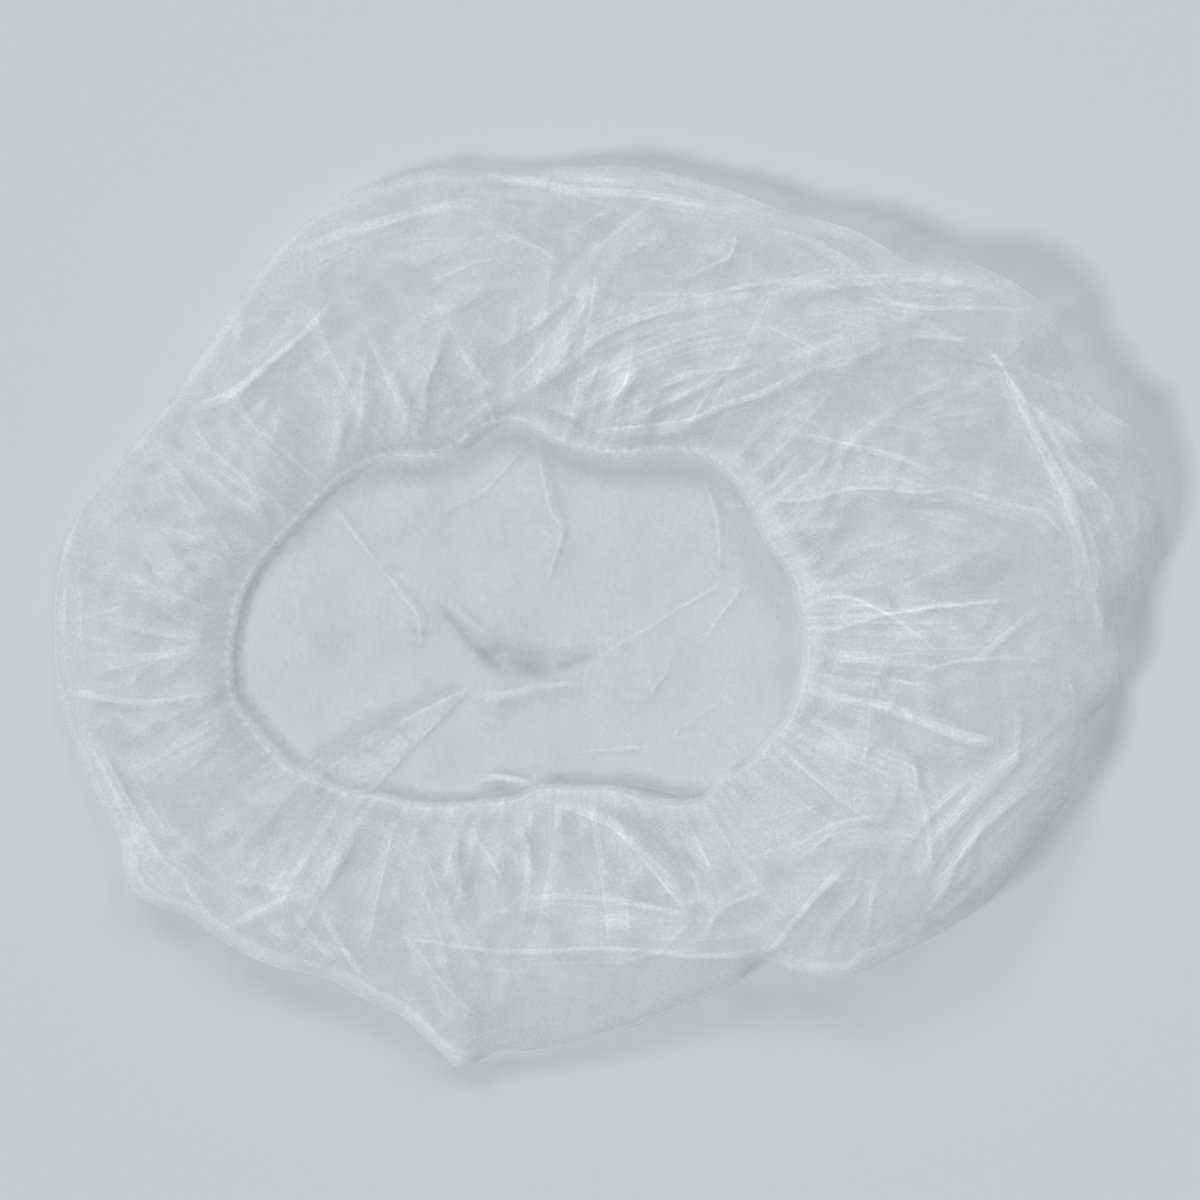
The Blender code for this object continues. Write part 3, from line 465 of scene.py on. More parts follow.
def ring_column(places):
    """The turn of the column of cloth that each place of the ring lies on, and its share of the way
    from the widest line to the mouth."""
    guess = np.degrees(np.arctan2(*((places - CROWN) / outline.axes).T[::-1]))
    low, high = guess - 35, guess + 35
    for _ in range(22):
        middle = (low + high) / 2
        start = mouth.at(middle)
        run = outline.at(middle) - start
        off = places - start
        side = run[:, 0] * off[:, 1] - run[:, 1] * off[:, 0]
        low = np.where(side > 0, middle, low)
        high = np.where(side > 0, high, middle)
    turn = (low + high) / 2
    start = mouth.at(turn)
    run = outline.at(turn) - start
    length = np.hypot(run[:, 0], run[:, 1])
    share = 1 - ((places - start) * run).sum(1) / length**2
    return turn, np.clip(share, 0, 1), length


def step_lengths(line):
    """How long each step of a line is."""
    return np.hypot(*np.diff(line, axis=0).T)


def resample(points, spacing):
    """Points evenly along a smooth line through the given ones, with each one's share of the way."""
    points = np.asarray(points, float)
    along = np.concatenate([[0], np.cumsum(step_lengths(points))])
    count = max(2, int(np.ceil(along[-1] / spacing)) + 1)
    share = np.linspace(0, 1, count)
    line = np.stack([np.interp(share * along[-1], along, points[:, i]) for i in (0, 1)], axis=1)
    for _ in range(2):
        line[1:-1] = (line[:-2] + 2 * line[1:-1] + line[2:]) / 4
    return line, share


def beside(line, offset):
    """The line moved sideways."""
    run = np.gradient(line, axis=0)
    run /= np.maximum(np.hypot(run[:, 0], run[:, 1]), 1e-9)[:, None]
    return line + np.stack([-run[:, 1], run[:, 0]], axis=1) * np.asarray(offset)[:, None]


# Half the width over which a band's edge fades, the spacing of a fold's points, and the length over
# which a fold fades at its ends, in mm
SOFT = 0.22
FOLD_STEP = 1.3
RUN_OUT = 9
# What share of the tables' layers and heights the folds get
RING_SHARE = 0.40
CROWN_SHARE = 0.85
RISE_SHARE = 0.75


class Stroke:
    """A fold in millimetres: a line with the width of its whiter band and of its ridge."""

    def __init__(self, fold, share):
        places = [to_plan(p) for p in fold.points]
        self.line, self.share = resample(places, FOLD_STEP)
        self.half = np.interp(self.share, [0, 1], fold.width) * MM_PER_PIXEL / 2
        self.white = fold.white * (share if fold.white > 0 else 1)
        self.rise = fold.rise * RISE_SHARE
        self.spread = fold.spread * MM_PER_PIXEL
        self.side = fold.side
        self.length = step_lengths(self.line).sum()

    def points(self):
        """Where the mesh needs vertices to hold the fold's form."""
        offsets = [np.zeros_like(self.half)]
        for side in (-1, 1):
            offsets.append(side * (self.half + SOFT))
            if self.half.max() > 0.9:
                offsets.append(side * np.maximum(self.half - SOFT, 0.3))
        return np.concatenate([beside(self.line, offset) for offset in offsets])

    def reading(self, places):
        """What the fold adds at each place: layers, a change of colour, and height: the colour is a little
        whiter where the cloth lies double, and darker, as painted shade, where the fold is dark.
        """
        margin = self.spread + self.half.max() + 1
        near = np.all((places > self.line.min(0) - margin) & (places < self.line.max(0) + margin), axis=1)
        chosen = np.nonzero(near)[0]
        best = np.full(len(chosen), 1e9)
        share = np.zeros(len(chosen))
        left = np.zeros(len(chosen))
        steps = [*range(0, len(self.line) - 1, 2), len(self.line) - 1]
        for k, after in zip(steps, steps[1:]):
            start, run = self.line[k], self.line[after] - self.line[k]
            off = places[chosen] - start
            t = np.clip(off @ run / (run @ run), 0, 1)
            away = np.hypot(*(off - t[:, None] * run).T)
            closer = away < best
            best = np.where(closer, away, best)
            share = np.where(closer, self.share[k] + t * (self.share[after] - self.share[k]), share)
            left = np.where(closer, np.sign(run[0] * off[:, 1] - run[1] * off[:, 0]), left)
        half = np.interp(share, self.share, self.half)
        run_out = min(0.4, RUN_OUT / self.length)
        fade = np.clip(np.minimum(share, 1 - share) / run_out, 0, 1)
        fade = fade * fade * (3 - 2 * fade)
        ridge = np.clip(1 - np.maximum(best - half * 0.6, 0) / self.spread, 0, 1) ** 1.25
        rise = self.rise * ridge * (0.1 + 0.9 * fade)
        # Dark folds: painted shade, the shadow in a deep crease, a gap or beside a fold, as more cover and a
        # darker colour.
        if self.white <= 0:
            soft = np.maximum(SOFT, half * 0.55)
            band = np.clip((half + soft - best) / (2 * soft), 0, 1) * fade
            return chosen, -0.4 * self.white * band, 1 + 0.5 * self.white * band, rise
        crisp = np.clip((half + SOFT - best) / (2 * SOFT), 0, 1)
        across = left * best / np.maximum(half, 0.1)
        broad = np.clip((half - 0.7) / 1.2, 0, 1)
        if self.side:
            side = np.sign(self.side)
            veil = crisp * np.clip(0.5 + 0.5 * side * across, 0, 1) ** 0.8
            if abs(self.side) > 1:
                veil = crisp
            line = 0.6 * np.exp(-((np.abs(across - 0.85 * side) * half / 0.3) ** 2))
        else:
            veil = np.clip(1.25 * (1 - best / np.maximum(half + SOFT, 0.1)), 0, 1) ** 0.7
            line = 0.45 * np.exp(-((np.abs(across - 0.8) * half / 0.3) ** 2))
        x, y = places[chosen].T
        uneven = np.clip(0.95 + 0.25 * waves(x, y, 12, 71, 6), 0.4, 1.4)
        band = ((1 - broad) * crisp + broad * (veil * uneven + line)) * fade
        return chosen, self.white * band, 1 + 0.08 * np.minimum(self.white, 1) * band, rise


# The shares of the outline's and the mouth's reach between which the ring's made-up folds lie
RING_OUTER = 0.985
RING_INNER = 1.02


def lies_on_ring(places):
    """Whether all the places lie on the ring, clear of its two edges."""
    outermost = outline.turn_and_share(places)[1].max()
    return outermost < RING_OUTER and mouth.turn_and_share(places)[1].min() > RING_INNER


def streaks(folds, seed):
    """Fine creases along each wide fold, as its cloth is never quite flat."""
    rng = np.random.default_rng(SEED * 100 + seed)
    fine = []
    for fold in folds:
        wide = max(fold.width)
        if fold.white <= 0:
            continue
        for _ in range(2 + int(wide / 3)):
            start, end = sorted(rng.uniform(0, 1, 2))
            if end - start < 0.3:
                start, end = max(0, start - 0.25), min(1, end + 0.25)
            line, share = resample(fold.points, 8)
            kept = line[(share >= start) & (share <= end)]
            if len(kept) < 3:
                continue
            reach = max(wide * 0.5, 4)
            drift = rng.uniform(-reach, reach) + np.linspace(0, rng.normal(0, 5), len(kept))
            points = tuple(map(tuple, beside(kept, drift)))
            fine.append(Fold(points, (1.9, 1.5), rng.uniform(0.25, 0.75), rng.uniform(0.1, 0.5), 7))
    return fine


# A fold at least this long has companions, and one more for each such length, in pixels
COMPANION_PIXELS = 55


def companions(folds, seed):
    """Long creases and veils that run beside the long folds, a little askew to them."""
    rng = np.random.default_rng(SEED * 100 + seed)
    found = []
    for fold in folds:
        line, share = resample(fold.points, 10)
        length = step_lengths(line).sum()
        if length < COMPANION_PIXELS:
            continue
        for _ in range(2 + int(length / COMPANION_PIXELS)):
            start = rng.uniform(-0.1, 0.5)
            kept = line[(share >= start) & (share <= start + rng.uniform(0.45, 0.9))]
            if len(kept) < 4:
                continue
            drift = rng.normal(0, 22) + np.linspace(0, rng.normal(0, 14), len(kept))
            points = np.array(beside(kept, drift))
            if not lies_on_ring(np.array([to_plan(p) for p in points])):
                continue
            if rng.uniform() < 0.3:
                width = (rng.uniform(4, 10), rng.uniform(8, 24))
                rest = (rng.uniform(0.3, 0.6), rng.uniform(0.2, 0.9), 14, rng.choice((-1, 1)))
            else:
                width = (1.9, 1.5)
                rest = (rng.uniform(0.3, 0.9), rng.uniform(0.1, 0.8), 10, 0)
            found.append(Fold(tuple(map(tuple, points)), width, *rest))
    return found


def to_pixel(place):
    """A place on the surface as a photo pixel."""
    return place[0] / MM_PER_PIXEL + ORIGIN_PIXEL[0], ORIGIN_PIXEL[1] - place[1] / MM_PER_PIXEL


def as_fold(steps, *rest):
    """A fold whose line is given in millimetres."""
    return Fold(tuple(to_pixel(step) for step in steps), *rest)


def run_from(place, angle, length, bend):
    """Four places along a bent line."""
    steps = [place]
    for _ in range(3):
        steps.append(steps[-1] + length / 3 * np.array([np.cos(angle), np.sin(angle)]))
        angle += bend
    return np.array(steps)


# How many small creases and veils are tried over the ring
SMALL_FOLDS = 240


def random_folds(count, seed):
    """Small creases and veils over the ring, most of them running out from the mouth."""
    rng = np.random.default_rng(SEED * 100 + seed)
    folds = []
    for _ in range(count):
        turn = rng.uniform(0, 360)
        share = rng.uniform(0.02, 0.95)
        start = mouth.at(turn) * (1 - share) + outline.at(turn) * share
        away = outline.at(turn) - mouth.at(turn)
        angle = np.arctan2(away[1], away[0]) + rng.normal(0, 0.2 + 0.8 * share)
        wide = rng.uniform() < 0.34
        length = rng.uniform(10, 42) if wide else rng.uniform(6, 30)
        steps = run_from(start, angle, length, rng.normal(0, 0.1))
        if not lies_on_ring(steps):
            continue
        rise = rng.uniform(0.3, 1.1) * (1 if rng.uniform() < 0.65 else -1)
        width = (rng.uniform(3, 9), rng.uniform(10, 34)) if wide else (2.2, 1.5)
        white = rng.uniform(0.2, 0.5) if wide else rng.uniform(0.25, 0.6)
        side = rng.choice((-1, 1)) if wide else 0
        folds.append(as_fold(steps, width, white, rise, rng.uniform(9, 20), side))
    return folds


def gather_folds(seed):
    """Veils that fan out from the hem, at uneven spaces, with darker ones of painted shade, the shadow in the
    troughs, between some of them.
    """
    rng = np.random.default_rng(SEED * 100 + seed)
    folds = []
    turn = 0.0
    while turn < 358:
        away = outline.at(turn) - mouth.at(turn)
        room = np.hypot(*away)
        start = mouth.at(turn) + away * 0.4 / room
        angle = np.arctan2(away[1], away[0]) + rng.normal(0, 0.08)
        length = min(rng.uniform(9, 60), 0.85 * room)
        steps = run_from(start, angle, length, rng.normal(0, 0.06))
        width = (rng.uniform(3, 6), rng.uniform(8, 30))
        # A quarter are painted shade: a darker colour in a shallow trough between gathers.
        if rng.uniform() < 0.25:
            folds.append(as_fold(steps, width, -rng.uniform(0.08, 0.25), -rng.uniform(0.2, 0.6), 12))
        else:
            side = rng.choice((-1, 1))
            folds.append(as_fold(steps, width, rng.uniform(0.6, 1.4), rng.uniform(0.2, 0.8), 12, side))
        turn += rng.uniform(2.5, 7.0)
    return folds


def hex_lattice(low, high, spacing):
    """Points in even triangles over a box."""
    rows = np.arange(low[1], high[1], spacing * 0.866)
    columns = np.arange(low[0], high[0], spacing)
    x, y = np.meshgrid(columns, rows)
    x = x + (np.arange(len(rows)) % 2)[:, None] * spacing / 2
    return np.stack([x.ravel(), y.ravel()], axis=1)


def cells(places, size, spread=0):
    """The number of each place's square cell, and of the cells round it."""
    keys = np.floor(places / size).astype(np.int64)
    found = []
    for dx in range(-spread, spread + 1):
        for dy in range(-spread, spread + 1):
            found.append((keys[:, 0] + dx) * 100003 + keys[:, 1] + dy)
    return found


def clear_of(places, taken, gap):
    """The places that have no taken place within about the gap."""
    blocked = np.unique(np.concatenate(cells(taken, gap, 1)))
    return places[~np.isin(cells(places, gap)[0], blocked)]


def thinned(places, gap):
    """The places with no more than one kept in each small cell."""
    _, first = np.unique(cells(places, gap)[0], return_index=True)
    return places[np.sort(first)]


def inside_loop(places, loop):
    """Whether each place lies inside a closed loop."""
    following = np.roll(loop, -1, axis=0)
    inside = np.zeros(len(places), bool)
    for (ax, ay), (bx, by) in zip(loop, following):
        crosses = (ay > places[:, 1]) != (by > places[:, 1])
        with np.errstate(divide="ignore", invalid="ignore"):
            at = (bx - ax) * (places[:, 1] - ay) / (by - ay) + ax
        inside ^= crosses & (places[:, 0] < at)
    return inside


def triangles_between(loops, extra):
    """A triangle mesh of the extra points and the loops, inside the first loop and outside the rest."""
    places = np.concatenate(list(loops) + [extra])
    edges = []
    start = 0
    for loop in loops:
        count = len(loop)
        edges += [(start + k, start + (k + 1) % count) for k in range(count)]
        start += count
    found = delaunay_2d_cdt([Vector(p) for p in places.tolist()], edges, [], 0, 1e-6, False)
    corners = np.array([tuple(v) for v in found[0]])
    faces = np.array([tuple(f) for f in found[2]])
    if len(corners) != len(places):
        raise ValueError("the mesh's points changed: %d from %d" % (len(corners), len(places)))
    rim = (faces < start).all(axis=1)
    middles = corners[faces[rim]].mean(axis=1)
    keep = inside_loop(middles, loops[0])
    for hole in loops[1:]:
        keep &= ~inside_loop(middles, hole)
    kept = np.ones(len(faces), bool)
    kept[np.nonzero(rim)[0][~keep]] = False
    return places, faces[kept]


# Rows of mesh points inside the widest line, further in on the crown, and outside the hem, and the
# mesh's spacings, in mm
EDGE_STEPS = (0.25, 0.8, 1.7, 3.0)
CROWN_STEPS = (4.8, 7.2, 10.5)
HEM_STEPS = (0.7, 1.5, 2.4, 3.5, 4.8, 6.3)
EDGE_SPACING = 1.3
MOUTH_SPACING = 0.75
RING_SPACING = 1.5
SEEN_SPACING = 1.6
HIDDEN_SPACING = 3.0
# The least gaps between rows, folds and the lattice, in mm
ROW_GAP = 0.5
LATTICE_GAP = 0.62


def ring_points(strokes, edge_turns, mouth_turns):
    """Where the ring's mesh has its points: rows along its two edges, the folds, and a lattice."""
    edge = outline.at(edge_turns)
    inward = mouth.at(edge_turns) - edge
    inward /= np.hypot(*inward.T)[:, None]
    bands = [edge + inward * step for step in EDGE_STEPS]
    hem = mouth.at(mouth_turns)
    outward = outline.at(mouth_turns) - hem
    outward /= np.hypot(*outward.T)[:, None]
    bands += [hem + outward * step for step in HEM_STEPS]
    fixed = np.concatenate(bands)
    lines = np.concatenate([stroke.points() for stroke in strokes])
    lines = clear_of(thinned(lines, 0.32), fixed, ROW_GAP)
    lattice = hex_lattice(edge.min(0), edge.max(0), RING_SPACING)
    lattice = clear_of(lattice, np.concatenate([fixed, lines]), LATTICE_GAP)
    points = np.concatenate([lines, lattice])
    share = outline.turn_and_share(points)[1]
    points = points[(share < 0.975) & (mouth.turn_and_share(points)[1] > 1.09)]
    return np.concatenate([fixed, points])


def crown_points(strokes, edge_turns):
    """Where the crown's mesh has its points: closer inside the mouth, where they are seen."""
    edge = outline.at(edge_turns)
    inward = CROWN - edge
    inward /= np.hypot(*inward.T)[:, None]
    fixed = np.concatenate([edge + inward * step for step in EDGE_STEPS + CROWN_STEPS])
    lines = np.concatenate([stroke.points() for stroke in strokes])
    lines = clear_of(thinned(lines, 0.35), fixed, ROW_GAP)
    coarse = hex_lattice(edge.min(0), edge.max(0), HIDDEN_SPACING)
    fine = hex_lattice(edge.min(0), edge.max(0), SEEN_SPACING)
    seen = mouth.turn_and_share(fine)[1] < 1.05
    coarse = coarse[mouth.turn_and_share(coarse)[1] >= 1.05]
    lattice = np.concatenate([fine[seen], coarse])
    lattice = clear_of(lattice, np.concatenate([fixed, lines]), LATTICE_GAP)
    points = np.concatenate([lines, lattice])
    points = points[outline.turn_and_share(points)[1] < 0.93]
    return np.concatenate([fixed, points])


# Uneven places. length: mm from one to the next. height: of EDGE_WAVES and CROWN_WAVES in mm, of the
# rest in layers of cloth or as a share of its colour.
EDGE_WAVES = (Wave(0.9, 24, 41), Wave(0.5, 10, 42))
CROWN_WAVES = (Wave(0.45, 34, 51), Wave(0.25, 13, 52))
RING_CLOUDS = (Wave(0.05, 7, 72), Wave(0.08, 20, 73))
CROWN_CLOUDS = (Wave(0.14, 3.4, 76), Wave(0.12, 6, 74), Wave(0.16, 15, 75))
CROWN_SHADES = (Wave(0.025, 26, 77), Wave(0.015, 7, 78))

# The cloth's own edge, which is crimped inside the hem, in mm
RUFFLE_HEIGHT = 0.85
RUFFLE_PITCH = 3.2

# Gathers. count: round the hem. tall: mm from trough to middle. start: where they are tallest, in mm
# from the hem. fade: how fast they die away outward, in mm.
Gather = namedtuple("Gather", "count tall start fade seed")
GATHERS = (Gather(131, 0.3, 1.0, 6, 1), Gather(53, 0.35, 5, 18, 2), Gather(23, 0.8, 22, 60, 3))
# The radius of a circle about as long as the hem, in mm
HEM_CIRCLE = 80
# The turn at which the gathers are lowest, because the cloth is stretched there
CALM_TURN = 66


def gathers(turn, away):
    """Waves of cloth that start at the hem and die away over the ring, in millimetres."""
    u, v = on_circle(turn)
    total = np.zeros_like(turn)
    calm = 1 - 0.6 * np.exp(-(((turn - CALM_TURN) / 26) ** 2))
    for g in GATHERS:
        warp = 1.3 * waves(u, v, 2600 / g.count, g.seed) + 0.4 * waves(u + away, v - away, 45, g.seed + 10)
        wave = 1 - 2 * np.abs(np.sin(pi * (g.count * turn / 360 + warp))) ** 1.2
        uneven = 0.8 + 0.5 * waves(u, v + away * 0.4, 34, g.seed + 20)
        grow = np.minimum(1, 0.25 + 0.75 * away / g.start)
        fall = np.exp(-np.maximum(away - g.start, 0) / g.fade)
        total += g.tall * calm * np.clip(uneven, 0.1, 1.9) * wave * grow * fall
    return total


def on_circle(turn):
    """Turns as places on a circle about as long as the hem, for noise that closes on itself."""
    angle = np.radians(turn)
    return HEM_CIRCLE * np.cos(angle), HEM_CIRCLE * np.sin(angle)


def facets(places, count, length, seed):
    """Straight creases that cross and fade: a height of about one millimetre."""
    rng = np.random.default_rng(SEED * 10 + seed)
    x, y = places.T
    total = np.zeros(len(places))
    for k in range(count):
        turn = rng.uniform(0, pi)
        run = (x * np.cos(turn) + y * np.sin(turn)) / (length * rng.uniform(0.7, 1.5)) + rng.uniform(0, 2)
        tent = np.abs(np.mod(run + 0.2 * waves(x, y, 90, seed + k), 2) - 1) - 0.5
        total += tent * np.clip(waves(x, y, 60, seed + 50 + k, 5), 0, 1.5)
    return total * 2 / np.sqrt(count)


# In how many steps a curve's own measure is turned into a share of the way
CURVE_STEPS = 400


def ring_heights(places, strokes):
    """The ring's height, its layers, its colour's tone with painted shade, and its place along and away from
    the hem.
    """
    turn, share, length = ring_column(places)
    edge, puff, hem = (height_at(c, turn) for c in ("edge", "puff", "hem"))
    edge = edge + edge_noise(turn)
    hem = hem - hem_sag(turn)
    # The height of both middle points of a curve that passes halfway through puff
    crest = (8 * puff - edge - hem) / 6
    t = np.linspace(0, 1, CURVE_STEPS)
    run = 3 * (1 - t) * t**2 * 0.65 + t**3
    t = np.interp(share, run, t)
    s = 1 - t
    z = s**3 * edge + 3 * s * s * t * crest + 3 * s * t * t * crest + t**3 * hem
    away = (1 - share) * length
    from_edge = share * length
    low = np.clip(puff / 28, 0.5, 1)
    z += gathers(turn, away) * low * np.clip(from_edge / 6, 0, 1) ** 0.7
    z += 0.9 * facets(places, 14, 17, 300) * low * np.clip(away / 10, 0, 1) * np.clip(from_edge / 5, 0, 1)
    x, y = places.T
    layers = 1 + 0.14 * np.exp(-away / 6) + 0.12 * np.exp(-away / 30)
    layers *= 1 + summed(x, y, RING_CLOUDS)
    # The colour's tone: the folds whiten it where the cloth lies double and darken it as painted shade in
    # dark creases.
    tone_and_painted_shade = np.ones(len(places))
    for stroke in strokes:
        chosen, white, whitening_or_painted_shade, rise = stroke.reading(places)
        layers[chosen] += white
        tone_and_painted_shade[chosen] *= whitening_or_painted_shade
        z[chosen] += rise * np.clip(from_edge[chosen] / 4, 0, 1) * np.clip(away[chosen] / 5, 0.15, 1)
    u, v = on_circle(turn)
    z += RUFFLE_HEIGHT * waves(u, v, RUFFLE_PITCH, 81, 5) * np.exp(-away / 1.0)
    return z, layers, tone_and_painted_shade, np.column_stack([u, v, away])


# How far the hem sinks below its node's middle all round, and further at two turns where it lies slack.
# depth: in mm. reach: in degrees.
HEM_SINKS = 1.9
Sag = namedtuple("Sag", "turn depth reach")
SAGS = (Sag(220, 2.8, 90), Sag(75, 1.2, 50))


def hem_sag(turn):
    """How far the hem sinks below its node's middle, in mm."""
    total = HEM_SINKS
    for sag in SAGS:
        off = (turn - sag.turn + 180) % 360 - 180
        total = total + sag.depth * np.exp(-((off / sag.reach) ** 2))
    return total


def edge_noise(turn):
    """How much the widest line's height wavers, in mm."""
    u, v = on_circle(turn)
    return summed(u, v, EDGE_WAVES)


# The crown's plain cloth: its layers, and its colour darkened as painted shade, as it lies flat inside the
# cap
CROWN_LAYERS = 0.95
CROWN_PAINTED_SHADE = 0.90


def crown_heights(places, strokes):
    """The crown's height, its layers and its colour's tone with painted shade: flat on the surface, curled up
    at the edge.
    """
    turn, share = outline.turn_and_share(places)
    edge = height_at("edge", turn) + edge_noise(turn)
    reach = np.hypot(*(outline.at(turn) - CROWN).T)
    from_edge = (1 - share) * reach
    inset = 3 + 0.9 * edge
    t = np.linspace(0, 1, CURVE_STEPS)
    run = (1 - t) ** 3
    t = np.interp(np.clip(from_edge / inset, 0, 1), run[::-1], t[::-1])
    z = edge * (3 * (1 - t) * t * t * 0.4 + t**3)
    flat = np.clip(from_edge / inset - 0.6, 0, 1)
    x, y = places.T
    lie = 0.8 + summed(x, y, CROWN_WAVES) + 0.8 * facets(places, 10, 16, 400)
    hidden = np.clip((mouth.turn_and_share(places)[1] - 1.04) / 0.15, 0, 1)
    lie += hidden * (1.3 * facets(places, 8, 11, 500) + 0.9 * np.abs(waves(x, y, 13, 55)))
    ripple = np.exp(-((x - RIPPLE[0]) ** 2 + (y - RIPPLE[1]) ** 2) / RIPPLE_REACH**2)
    lie += ripple * 0.22 * waves(x, y, 3.2, 53)
    layers = CROWN_LAYERS + summed(x, y, CROWN_CLOUDS)
    # Painted shade: the crown's colour starts darker than the ring's, and waves vary its tone at random.
    tone_and_painted_shade = CROWN_PAINTED_SHADE + summed(x, y, CROWN_SHADES)
    for stroke in strokes:
        chosen, white, whitening_or_painted_shade, rise = stroke.reading(places)
        layers[chosen] += white
        tone_and_painted_shade[chosen] *= whitening_or_painted_shade
        lie[chosen] += rise
    z += np.maximum(lie, 0.15) * flat
    return z, layers, tone_and_painted_shade


def seen_from_camera(places, z):
    """Places moved in by their height, so that the camera sees them at their photo pixels."""
    middle = np.array(to_plan((PHOTO_SIDE / 2, PHOTO_SIDE / 2)))
    return middle + (places - middle) * (1 - z / CAMERA_HEIGHT)[:, None]


def node(tree, kind, **settings):
    """A new shader node, with its inputs or its own settings given by name."""
    made = tree.nodes.new(kind)
    for name, value in settings.items():
        if name in made.inputs:
            made.inputs[name].default_value = value
        else:
            setattr(made, name, value)
    return made


def math_node(tree, operation, first, second):
    made = node(tree, "ShaderNodeMath", operation=operation)
    for socket, value in zip(made.inputs, (first, second)):
        if isinstance(value, (int, float)):
            socket.default_value = value
        else:
            tree.links.new(value, socket)
    return made.outputs[0]


# The cloth: how much of what lies behind it one layer hides, the share of its light that one layer
# passes on, and its colour
CLOTH_COVER = 0.22
THROUGH_SHARE = 0.31
FIBRE_COLOUR = (0.968, 0.972, 1.0, 1.0)
# Its fibres, its tangles of fibres and its bonded dots: their scale or pitch, and how far each thins
# and thickens the cloth
FIBRE_SCALE = 2600.0
FIBRE_AMOUNT = (0.86, 1.14)
TANGLE_SCALE = 800.0
TANGLE_AMOUNT = (0.89, 1.11)
TANGLE_TINT = (0.96, 1.02)
BOND_PITCH = 0.0014
BOND_AMOUNT = (0.93, 1.07)
# Its streaks: their scale, how much longer they are than wide, the layers that they add at the hem,
# and what is left of them 1 mm further out
STREAK_SCALE = 0.45
STREAK_SQUEEZE = (1.0, 1.0, 0.06)
STREAK_LAYERS = (0.0, 0.5)
STREAK_FALL = 0.93
# The middle part of a noise's values, and the part in which there are streaks
NOISE_RANGE = (0.25, 0.75)
STREAK_RANGE = (0.46, 0.68)


def noise(tree, place, scale, detail):
    made = node(tree, "ShaderNodeTexNoise", Scale=scale, Detail=detail, Roughness=0.6)
    tree.links.new(place, made.inputs["Vector"])
    return made.outputs["Fac"]


def ramp(tree, value, taken, given):
    """The value carried over from the taken range to the given one, and held within it."""
    made = node(tree, "ShaderNodeMapRange")
    tree.links.new(value, made.inputs["Value"])
    for name, number in zip(("From Min", "From Max", "To Min", "To Max"), taken + given):
        made.inputs[name].default_value = number
    return made.outputs["Result"]


def product(tree, *values):
    """The values multiplied together."""
    total = values[0]
    for value in values[1:]:
        total = math_node(tree, "MULTIPLY", total, value)
    return total


def new_material(name):
    """A new material and its empty node tree."""
    material = bpy.data.materials.new(name)
    material.use_nodes = True
    material.node_tree.nodes.clear()
    return material, material.node_tree


def mix(tree, share, first, second):
    """Two shaders mixed, with that share of the second."""
    made = node(tree, "ShaderNodeMixShader")
    if isinstance(share, float):
        made.inputs["Fac"].default_value = share
    else:
        tree.links.new(share, made.inputs["Fac"])
    tree.links.new(first, made.inputs[1])
    tree.links.new(second, made.inputs[2])
    return made.outputs[0]


def see_through(tree, cover, fibres):
    """The material's surface: the fibres, as far as they cover what lies behind them."""
    clear = node(tree, "ShaderNodeBsdfTransparent").outputs[0]
    output = node(tree, "ShaderNodeOutputMaterial")
    tree.links.new(mix(tree, cover, clear, fibres), output.inputs["Surface"])


